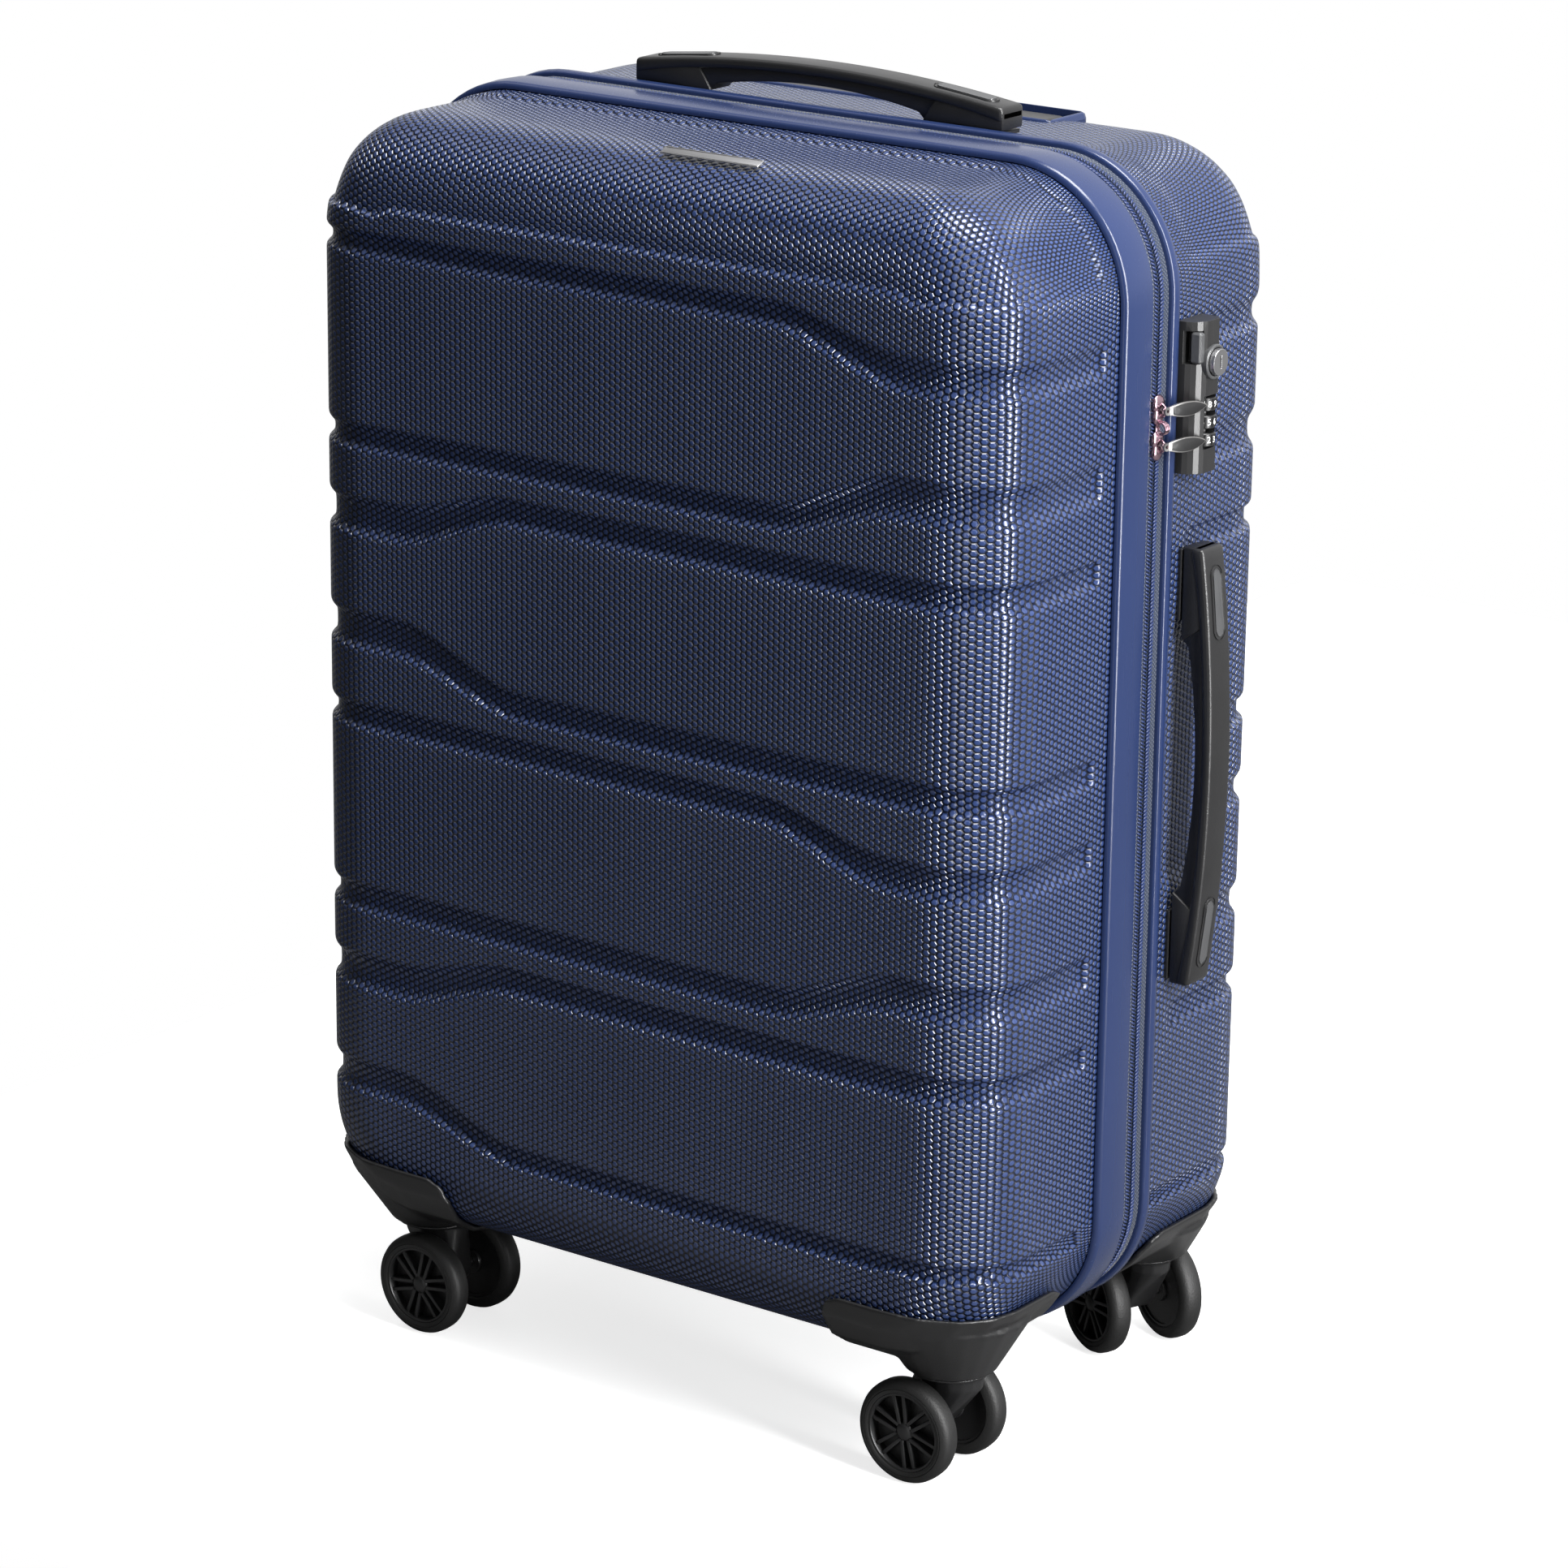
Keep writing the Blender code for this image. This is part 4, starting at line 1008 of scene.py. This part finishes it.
def packing_straps():
    """Two forked elastic bands that meet at a buckle, over the clothes in the rear half."""
    for side, name in ((-1, "left"), (1, "right")):
        bm = bmesh.new()
        near = Vector((0.030 * side, STRAP_Y, 0.369))
        for way in (-1, 1):
            far = Vector((0.2085 * side, STRAP_Y, 0.369 + 0.172 * way))
            run = far - near
            length = run.length
            band = box_bm((0.0, -0.0006, -STRAP_WIDE / 2), (length, 0.0006, STRAP_WIDE / 2))
            for step in range(1, 30):
                cut(band, (length * step / 30, 0, 0), (1, 0, 0))
            for z in (-STRAP_WIDE / 2 + 0.002, STRAP_WIDE / 2 - 0.002):
                cut(band, (0, 0, z), (0, 0, 1))
            for vert in band.verts:
                vert.co.y += (
                    0.0003 * math.sin(vert.co.x * 90.0)
                    + 0.0006 * (way > 0) * (1 - vert.co.x / length)
                )
            flat_sheet_uv(band, Vector((1, 0, 0)), Vector((0, 0, 1)))
            along = run.normalized()
            across = Vector((-along.z, 0, along.x))
            place = Matrix(((along.x, 0, across.x, near.x), (0, 1, 0, near.y), (along.z, 0, across.z, near.z),
                            (0, 0, 0, 1)))
            placed(band, place)
            joined(bm, band)
        tab = box_bm((min(0.0235 * side, 0.052 * side), STRAP_Y - 0.0014, 0.369 - STRAP_WIDE / 2),
                     (max(0.0235 * side, 0.052 * side), STRAP_Y + 0.0014, 0.369 + STRAP_WIDE / 2))
        bevelled(flat_sheet_uv(tab, Vector((1, 0, 0)), Vector((0, 0, 1))), 0.0006, 1)
        joined(bm, tab)
        outward(bm)
        piece(f"packing_band_{name}", bm, STRAP, "rear_case", (f"packing_strap_{name}",), angle=40)
    low, high = (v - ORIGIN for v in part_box("strap_buckle"))
    middle = (low + high) / 2
    bm = bevelled(box_bm(low, high), 0.0025, 3)
    for side in (-1, 1):
        rib = box_bm((middle.x + side * 0.0165 - 0.0012, low.y - 0.0004, low.z + 0.004),
                     (middle.x + side * 0.0165 + 0.0012, low.y + 0.002, high.z - 0.004))
        joined(bm, bevelled(rib, 0.0005, 2))
    press = box_bm((middle.x - 0.0085, low.y - 0.0007, middle.z - 0.0085),
                   (middle.x + 0.0085, low.y + 0.002, middle.z + 0.0085))
    joined(bm, bevelled(press, 0.0008, 2), 1)
    piece("strap_clip", bm, (BLACK, GREY), "rear_case", ("strap_buckle",), angle=40)


# ---------------------------------------------------------------- fittings

def name_plate():
    """A plain bright plate with a thin raised border, on the rounded front edge of the top."""
    low, high = (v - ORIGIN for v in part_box("name_plate"))
    middle = (low + high) / 2
    frame_matrix = Matrix.Translation(middle) @ Matrix.Rotation(math.radians(22.0), 4, "X")
    half = ((high.x - low.x) / 2, 0.0031)
    bm = bevelled(box_bm((-half[0], -half[1], -0.0004), (half[0], half[1], 0.0003)), 0.0003, 2)
    for z in (-1, 1):
        bar = box_bm((-half[0] + 0.0006, z * (half[1] - 0.0006) - 0.0003, 0.0),
                     (half[0] - 0.0006, z * (half[1] - 0.0006) + 0.0003, 0.0005))
        joined(bm, bevelled(bar, 0.0001, 1))
    placed(bm, frame_matrix)
    piece("bright_plate", bm, STEEL, "front_case", ("name_plate",), angle=30)


def crown(u, half, arch, end):
    return arch - (arch - end) * (u / half) ** 2


def stadium(half_long, half_wide, thick):
    """A flat pill shape, long in X, standing up from z = 0."""
    bm = bmesh.new()
    bmesh.ops.create_circle(bm, cap_ends=True, segments=48, radius=half_wide)
    for vert in bm.verts:
        vert.co.x += math.copysign(half_long - half_wide, vert.co.x)
    raised = bmesh.ops.extrude_face_region(bm, geom=bm.faces[:])
    top = [item for item in raised["geom"] if isinstance(item, bmesh.types.BMVert)]
    bmesh.ops.translate(bm, vec=(0, 0, thick), verts=top)
    outward(bm)
    return bm


def carry_handle(name, frame_matrix, body):
    """A bowed grip: a broad outer cover over a narrower core, solid ends with a ridged pill inset."""
    half, arch, end, block = 0.1150, 0.0235, 0.0150, 0.0640
    over = [half * (1 - step / 20) for step in range(41)]

    def section(lift, low, inner):
        tops = [(u, crown(u, half, arch, end) + lift) for u in over]
        bottoms = [(-block - 0.004, low)] + [
            (block * (i / 10 - 1), inner - 0.0060 * (i / 10 - 1) ** 2) for i in range(21)
        ]
        bottoms += [(block + 0.004, low)]
        return [(half, low)] + tops + [(-half, low)] + bottoms

    bm = bevelled(
        prism_bm([(u * 0.985, v) for u, v in section(-0.0045, 0.0030, 0.0130)], 0.0082, frame_matrix),
        0.0012, 2,
    )
    cover_top = [(u, crown(u, half, arch, end)) for u in over]
    cover_bottom = [(-u, crown(u, half, arch, end) - 0.0058 - 0.0020 * (abs(u) / half) ** 4) for u in over]
    cover = bevelled(prism_bm(cover_top + cover_bottom, 0.0100, frame_matrix), 0.0022, 3)
    joined(bm, cover)
    for way in (-1, 1):
        cap = prism_bm([(way * 0.0660, 0.0032), (way * half, 0.0032), (way * half, end - 0.002),
                        (way * 0.098, 0.0155), (way * 0.0740, 0.0150)], 0.0094, frame_matrix)
        joined(bm, bevelled(cap, 0.0012, 2))
        for lift, long, wide, shade in ((0.0000, 0.0190, 0.0052, 1), (0.0004, 0.0172, 0.0036, 2)):
            pill = stadium(long, wide, 0.0009)
            for vert in pill.verts:
                u = way * 0.0870 + vert.co.x
                v = crown(u, half, arch, end) - 0.0005 + lift + vert.co.z
                vert.co = (u, v, vert.co.y)
            bevelled(pill, 0.0003, 2)
            placed(pill, frame_matrix)
            outward(pill)
            joined(bm, pill, shade)
    outward(bm)
    made = piece(f"{name}_bow", bm, (BLACK, SATIN_BLACK, CHARCOAL), body,
                 (f"{name}_grip",), angle=35)
    for side in "ab":
        dress(f"{name}_post_{side}", BLACK, 0.0006)
    return made


def carry_handles():
    top = Matrix(((1, 0, 0, 0), (0, 0, -1, 0.0605), (0, 1, 0, TOP), (0, 0, 0, 1)))
    side = Matrix(((0, 1, 0, HALF_WIDTH), (0, 0, 1, 0.0700), (1, 0, 0, 0.3610), (0, 0, 0, 1)))
    carry_handle("top_handle", top, "top_handle")
    carry_handle("side_handle", side, "side_handle")


def digit_bm(number, size):
    """A numeral as a thin flat shape in the XY plane, centred."""
    data = bpy.data.curves.new("numeral", "FONT")
    data.body = str(number)
    data.size = size
    data.align_x, data.align_y = "CENTER", "CENTER"
    data.extrude = 0.00006
    data.resolution_u = 2
    holder = bpy.data.objects.new("numeral", data)
    mesh = bpy.data.meshes.new_from_object(holder)
    bm = bmesh.new()
    bm.from_mesh(mesh)
    bpy.data.meshes.remove(mesh)
    bpy.data.objects.remove(holder)
    bpy.data.curves.remove(data)
    return bm


def dials():
    """Three number wheels on an upright shaft, with a finger notch between the numerals."""
    for number in (1, 2, 3):
        low, high = (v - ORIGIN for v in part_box(f"dial_{number}"))
        centre = (low + high) / 2
        radius, half = (high.x - low.x) / 2, (high.z - low.z) / 2
        profile = [(0.0018, -half), (radius - 0.0005, -half), (radius, -half + 0.0005),
                   (radius, half - 0.0005),
                   (radius - 0.0005, half), (0.0018, half), (0.0018, -half)]
        bm = spun(profile, 60, Matrix.Translation(centre))
        for step in range(10):
            turn = Matrix.Translation(centre) @ Matrix.Rotation(math.radians(36.0 * step + 6.0), 4, "Z")
            stand = Matrix(((0, 0, 1, radius), (1, 0, 0, 0), (0, 1, 0, 0), (0, 0, 0, 1)))
            numeral = digit_bm((step + 3 * number) % 10, 0.0046)
            placed(numeral, turn @ stand)
            joined(bm, numeral, 1)
            rib = box_bm((radius - 0.0003, -0.0003, -half + 0.0008), (radius + 0.0003, 0.0003, half - 0.0008))
            between = turn @ Matrix.Rotation(math.radians(18.0), 4, "Z")
            placed(rib, between)
            joined(bm, rib)
        piece(f"number_wheel_{number}", bm, (BLACK, WHITE_INK), f"dial_{number}",
              (f"dial_{number}",), angle=35)


def lock():
    dress("lock_body", SATIN_BLACK, 0.0009)
    dress("lock_button", CHARCOAL, 0.0003)
    dress("key_cylinder", STEEL, 0.0004)
    low, high = (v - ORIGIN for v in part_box("key_cylinder"))
    middle = (low + high) / 2
    centre = Matrix.Translation((high.x - 0.0040, middle.y, middle.z))
    turn = centre @ Matrix.Rotation(math.radians(90.0), 4, "Y")
    ring = [(0.0073, -0.0030), (0.0086, -0.0030), (0.0088, 0.0008), (0.0082, 0.0014), (0.0073, 0.0012),
            (0.0073, -0.0030)]
    piece("key_bezel", spun(ring, 48, turn), CHARCOAL, "rear_case", angle=35)
    dials()


def zip_slider(name, z, ringed):
    """A two-lobed slider with a bridge that holds its pull; the lower one carries three split rings."""
    low, high = (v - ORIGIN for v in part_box(f"zip_slider_{name}"))
    middle = (low + high) / 2
    bm = bmesh.new()
    for way, wide in ((1, 0.0050), (-1, 0.0044)):
        lobe = bmesh.new()
        bmesh.ops.create_uvsphere(lobe, u_segments=20, v_segments=12, radius=1.0)
        bmesh.ops.scale(lobe, vec=(0.0023, wide, 0.0048), verts=lobe.verts)
        bmesh.ops.translate(lobe, vec=(middle.x - 0.0004, middle.y, z + way * 0.0030), verts=lobe.verts)
        joined(bm, lobe)
    plate = box_bm((low.x, middle.y - 0.0036, z - 0.0060), (low.x + 0.0012, middle.y + 0.0036, z + 0.0060))
    bevelled(plate, 0.0004, 2)
    joined(bm, plate)
    bridge = bmesh.new()
    bmesh.ops.create_circle(bridge, segments=10, radius=0.0008)
    bmesh.ops.translate(bridge, vec=(0.0032, 0, 0), verts=bridge.verts)
    upright = Matrix.Rotation(math.radians(90.0), 3, "X")
    bmesh.ops.rotate(bridge, cent=(0.0032, 0, 0), matrix=upright, verts=bridge.verts)
    bmesh.ops.spin(bridge, geom=bridge.verts[:] + bridge.edges[:], cent=(0, 0, 0), axis=(0, 0, 1),
                   angle=math.pi, steps=16)
    place = Matrix(((0, 1, 0, middle.x + 0.0008), (0, 0, 1, middle.y), (1, 0, 0, z), (0, 0, 0, 1)))
    placed(bridge, place)
    joined(bm, bridge)
    if ringed:
        turns = [math.tau * i / 8 for i in range(9)]
        wire = [(0.0030 + 0.0005 * math.cos(t), 0.0005 * math.sin(t)) for t in turns]
        for step in (-1, 0, 1):
            at = Matrix.Translation((middle.x + 0.0024, middle.y + 0.0014 * step, z + 0.0090))
            joined(bm, spun(wire, 24, at @ Matrix.Rotation(math.radians(90.0), 4, "X")))
    outward(bm)
    piece(f"slider_{name}", bm, ROSE, f"{name}_slider", (f"zip_slider_{name}",), angle=45)


PULL_PIVOT = Vector((0.2280, 0.0, 0.0))
PULL_TIP = Vector((0.2352, 0.0585, 0.0))


def zip_pull(name, z):
    """A leaf: a bright edge round a black face, with an eye over the slider's bridge."""
    pivot = Vector((PULL_PIVOT.x, SEAM, z))
    reach = Vector((PULL_TIP.x, PULL_TIP.y, z)) - pivot
    ahead = reach.normalized()
    out = Vector((ahead.y, -ahead.x, 0.0))
    place = Matrix([(ahead[i], (0, 0, 1)[i], out[i], pivot[i]) for i in range(3)] + [(0, 0, 0, 1)])
    long = reach.length

    def leaf(wide, start, stop):
        ups = []
        for step in range(19):
            t = step / 18
            width = wide * (math.sin(math.pi * min(1.0, 0.14 + 0.86 * t)) ** 0.75)
            ups.append((start + (stop - start) * t, width))
        return ups + [(u, -v) for u, v in reversed(ups) if v > 0.0002]

    def bowed(bm, sag):
        for vert in bm.verts:
            t = vert.co.x / long
            vert.co.z += sag * math.sin(math.pi * max(0.0, min(1.0, t)))
        return bm

    bm = bevelled(bowed(prism_bm(leaf(0.0037, 0.0010, long), 0.0008, Matrix.Identity(4)), 0.0012), 0.0003, 2)
    face = prism_bm(leaf(0.0033, 0.0030, long - 0.0012), 0.0011, Matrix.Identity(4))
    bevelled(bowed(face, 0.0012), 0.0003, 2)
    joined(bm, face, 1)
    eye = spun([(0.0009, -0.0008), (0.0020, -0.0009), (0.0022, 0.0), (0.0020, 0.0009), (0.0009, 0.0008),
                (0.0009, -0.0008)], 24)
    joined(bm, eye)
    placed(bm, place)
    outward(bm)
    piece(f"pull_{name}", bm, (DULL_CHROME, BLACK), f"{name}_pull",
          (f"zip_pull_{name}",), angle=40)


# ---------------------------------------------------------------- casters

WHEEL_RADIUS = 0.0280
WHEEL_HALF = 0.0065
RIM_RADIUS = 0.0212


def wheel_bm():
    """A wheel about Z, its open face up: tyre, thin rim ring, six pairs of spokes and a small hub."""
    r, h = WHEEL_RADIUS, WHEEL_HALF
    tyre = [(RIM_RADIUS, h - 0.0006), (RIM_RADIUS + 0.0006, h - 0.0001), (r - 0.0048, h),
            (r - 0.0044, h - 0.0003), (r - 0.0040, h), (r - 0.0026, h - 0.0004), (r - 0.0010, h - 0.0018),
            (r - 0.0002, h - 0.0036), (r, 0.0), (r - 0.0002, -h + 0.0036), (r - 0.0010, -h + 0.0018),
            (r - 0.0026, -h + 0.0004), (RIM_RADIUS + 0.0006, -h),
            (RIM_RADIUS, -h + 0.0006), (RIM_RADIUS, h - 0.0006)]
    bm = spun(tyre, 64)
    for one in bm.faces:
        one.material_index = 0
    ring = [(RIM_RADIUS - 0.0016, h - 0.0016), (RIM_RADIUS - 0.0012, h - 0.0009),
            (RIM_RADIUS - 0.0002, h - 0.0009), (RIM_RADIUS - 0.0002, -h + 0.001),
            (RIM_RADIUS - 0.0016, -h + 0.001), (RIM_RADIUS - 0.0016, h - 0.0016)]
    joined(bm, spun(ring, 64), 1)
    plate = [(0.0, -h + 0.0058), (RIM_RADIUS - 0.001, -h + 0.0058), (RIM_RADIUS - 0.001, -h + 0.0018),
             (0.0028, -h + 0.0018),
             (0.0028, -h + 0.0054), (0.0, -h + 0.0054)]
    joined(bm, spun(plate, 48), 2)
    hub = [(0.0, h - 0.0012), (0.0030, h - 0.0014), (0.0046, h - 0.0022), (0.0052, h - 0.0034),
           (0.0052, -h + 0.0056)]
    joined(bm, spun(hub, 40), 1)
    inner = [(0.0029, -h + 0.0003), (0.0066, -h + 0.0003), (0.0070, -h + 0.0010), (0.0070, -h + 0.0030)]
    joined(bm, spun(inner, 32), 1)
    for pair in range(6):
        for side in (-1, 1):
            spoke = box_bm((0.0042, side * 0.0019 - 0.0010, -h + 0.0056),
                           (RIM_RADIUS - 0.0010, side * 0.0019 + 0.0010, h - 0.0019))
            for vert in spoke.verts:
                if vert.co.x > 0.01:
                    vert.co.y += side * 0.0011
            bevelled(spoke, 0.0004, 2)
            turn = Matrix.Rotation(math.radians(60.0 * pair), 3, "Z")
            bmesh.ops.rotate(spoke, cent=(0, 0, 0), matrix=turn, verts=spoke.verts)
            joined(bm, spoke, 1)
    return bm


def casters():
    for corner in ("front_left", "front_right", "rear_left", "rear_right"):
        rear_or_front = "front_case" if corner.startswith("front") else "rear_case"
        moulded_copy(f"{corner}_cover", f"{corner}_guard", BLACK, rear_or_front, 0.0013, 8)
        moulded_copy(f"{corner}_arm", f"{corner}_fork", BLACK, f"{corner}_caster", 0.0009, 6)
        dress(f"{corner}_axle", STEEL)
        axle_low, axle_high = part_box(f"{corner}_axle")
        for side in "ab":
            node_name = f"{corner}_wheel_{side}"
            low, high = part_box(node_name)
            centre = (low + high) / 2
            across = centre - (axle_low + axle_high) / 2
            bm = wheel_bm()
            turn = Vector((0, 0, 1)).rotation_difference(across).to_matrix().to_4x4()
            spin = Matrix.Rotation(math.radians(13.0 if side == "a" else 41.0), 4, "Z")
            bmesh.ops.transform(bm, matrix=Matrix.Translation(centre) @ turn @ spin, verts=bm.verts)
            piece(f"{corner}_tyre_{side}", bm, (TYRE, SATIN_BLACK, BLACK), node_name,
                  (node_name,),
                  at_case=False, angle=38)


def trolley():
    dress("trolley_cup", RIM_BLUE, 0.0006)
    dress("trolley_grip", BLACK, 0.0004)
    dress("trolley_button", GREY, 0.0005)
    for side in ("left", "right"):
        for stage_name in ("outer", "middle", "inner"):
            dress(f"{stage_name}_tube_{side}", ALUMINIUM)
        dress(f"tube_foot_{side}", BLACK, 0.0008)


# ---------------------------------------------------------------- studio

def area_light(name, azimuth, elevation, distance, size, power):
    """A softbox at this bearing round the case; azimuth 0 is in front of it and 90 on the lock side."""
    a, e = math.radians(azimuth), math.radians(elevation)
    away = Vector((math.sin(a) * math.cos(e), -math.cos(a) * math.cos(e), math.sin(e)))
    data = bpy.data.lights.new(name, "AREA")
    data.shape = "RECTANGLE"
    data.size, data.size_y = size
    data.energy = power
    made = bpy.data.objects.new(name, data)
    made.location = LIGHT_AIM + away * distance
    made.rotation_mode = "QUATERNION"
    made.rotation_quaternion = away.to_track_quat("Z", "Y")
    bpy.context.scene.collection.objects.link(made)
    return made


def studio():
    bm = bmesh.new()
    bmesh.ops.create_grid(bm, x_segments=1, y_segments=1, size=1.0)
    bmesh.ops.translate(bm, vec=FLOOR_MIDDLE, verts=bm.verts)
    mesh = bpy.data.meshes.new("floor")
    bm.to_mesh(mesh)
    bm.free()
    floor = bpy.data.objects.new("floor", mesh)
    bpy.context.scene.collection.objects.link(floor)
    made, tree, shader = blank("pale_floor", FLOOR_TONE, Roughness=0.9)
    shader.inputs["Specular IOR Level"].default_value = 0.2
    shader.inputs["Emission Color"].default_value = (1.0, 1.0, 1.0, 1.0)
    seen = node(tree, "ShaderNodeLightPath").outputs["Is Camera Ray"]
    tree.links.new(math_node(tree, "MULTIPLY", seen, FLOOR_GLOW), shader.inputs["Emission Strength"])
    tinted(tree, shader, FLOOR_TONE, 1.0, FLOOR_SEEN_TONE, seen)
    mesh.materials.append(made)
    soft_room()
    bpy.context.scene.view_settings.view_transform = "Standard"
    for light in LIGHTS:
        area_light(*light)


def soft_room():
    """White where it is looked at; round the case it is bright behind and above, dim at the front left."""
    world = bpy.data.worlds.new("studio")
    world.use_nodes = True
    tree = world.node_tree
    backdrop = tree.nodes["Background"]
    way = coordinates(tree, "Generated")
    behind = vector_node(tree, "DOT_PRODUCT", way, (0.26, 0.966, 0.0), out=1)
    split = node(tree, "ShaderNodeSeparateXYZ")
    tree.links.new(way, split.inputs[0])
    bright = ramp(tree, behind, -0.10, 0.75, 0.0, 0.90)
    high = ramp(tree, split.outputs[2], -0.30, 0.05, 0.25, 1.0)
    bright = math_node(tree, "MULTIPLY", bright, high)
    above = ramp(tree, split.outputs[2], 0.15, 0.95, 0.05, 0.30)
    lit = math_node(tree, "ADD", bright, above)
    seen = node(tree, "ShaderNodeLightPath").outputs["Is Camera Ray"]
    lit = math_node(tree, "MAXIMUM", lit, seen)
    tree.links.new(lit, backdrop.inputs["Strength"])
    backdrop.inputs["Color"].default_value = (1.0, 1.0, 1.0, 1.0)
    bpy.context.scene.world = world


def camera():
    """Where the case was seen from: bearing, height and a slight roll, aimed by its own axes."""
    azimuth, elevation, roll = (math.radians(a) for a in CAMERA_TURN)
    back = Vector((
        math.sin(azimuth) * math.cos(elevation),
        -math.cos(azimuth) * math.cos(elevation),
        math.sin(elevation),
    ))
    right = Vector((math.cos(azimuth), math.sin(azimuth), 0.0))
    up = back.cross(right)
    turned_right = right * math.cos(roll) + up * math.sin(roll)
    turned_up = up * math.cos(roll) - right * math.sin(roll)
    data = bpy.data.cameras.new("camera")
    data.lens = FOCAL_RATIO * SENSOR_WIDTH
    data.sensor_width = SENSOR_WIDTH
    data.clip_end = 200.0
    made = bpy.data.objects.new("camera", data)
    axes = Matrix((turned_right, turned_up, back)).transposed().to_4x4()
    made.matrix_world = Matrix.Translation(Vector(CAMERA_PLACE) + ORIGIN) @ axes
    bpy.context.scene.collection.objects.link(made)
    bpy.context.scene.camera = made


front_shell()
rear_shell()
rim("front_rim_moulding", FRONT_RIM, 0.0030, 0.0024, "front_case", "front_rim")
rim("rear_rim_moulding", REAR_RIM, 0.0018, 0.0024, "rear_case", "rear_rim")
zip_tape("front_tape_cloth", (FRONT_RIM[1] + 0.0003, SEAM - 0.0009), "front_case", "front_zip_tape")
zip_tape("rear_tape_cloth", (REAR_RIM[0] - 0.0003, SEAM + 0.0009), "rear_case", "rear_zip_tape")
zip_coil("front_coil", -1, "front_case")
zip_coil("rear_coil", 1, "rear_case")
hinge_cloth()
linings()
packing_straps()
name_plate()
carry_handles()
lock()
for slider_name in ("upper", "lower"):
    slider_low, slider_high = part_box(f"zip_slider_{slider_name}")
    slider_z = (slider_low.z + slider_high.z) / 2
    zip_slider(slider_name, slider_z, slider_name == "lower")
    zip_pull(slider_name, slider_z)
casters()
trolley()

studio()
camera()
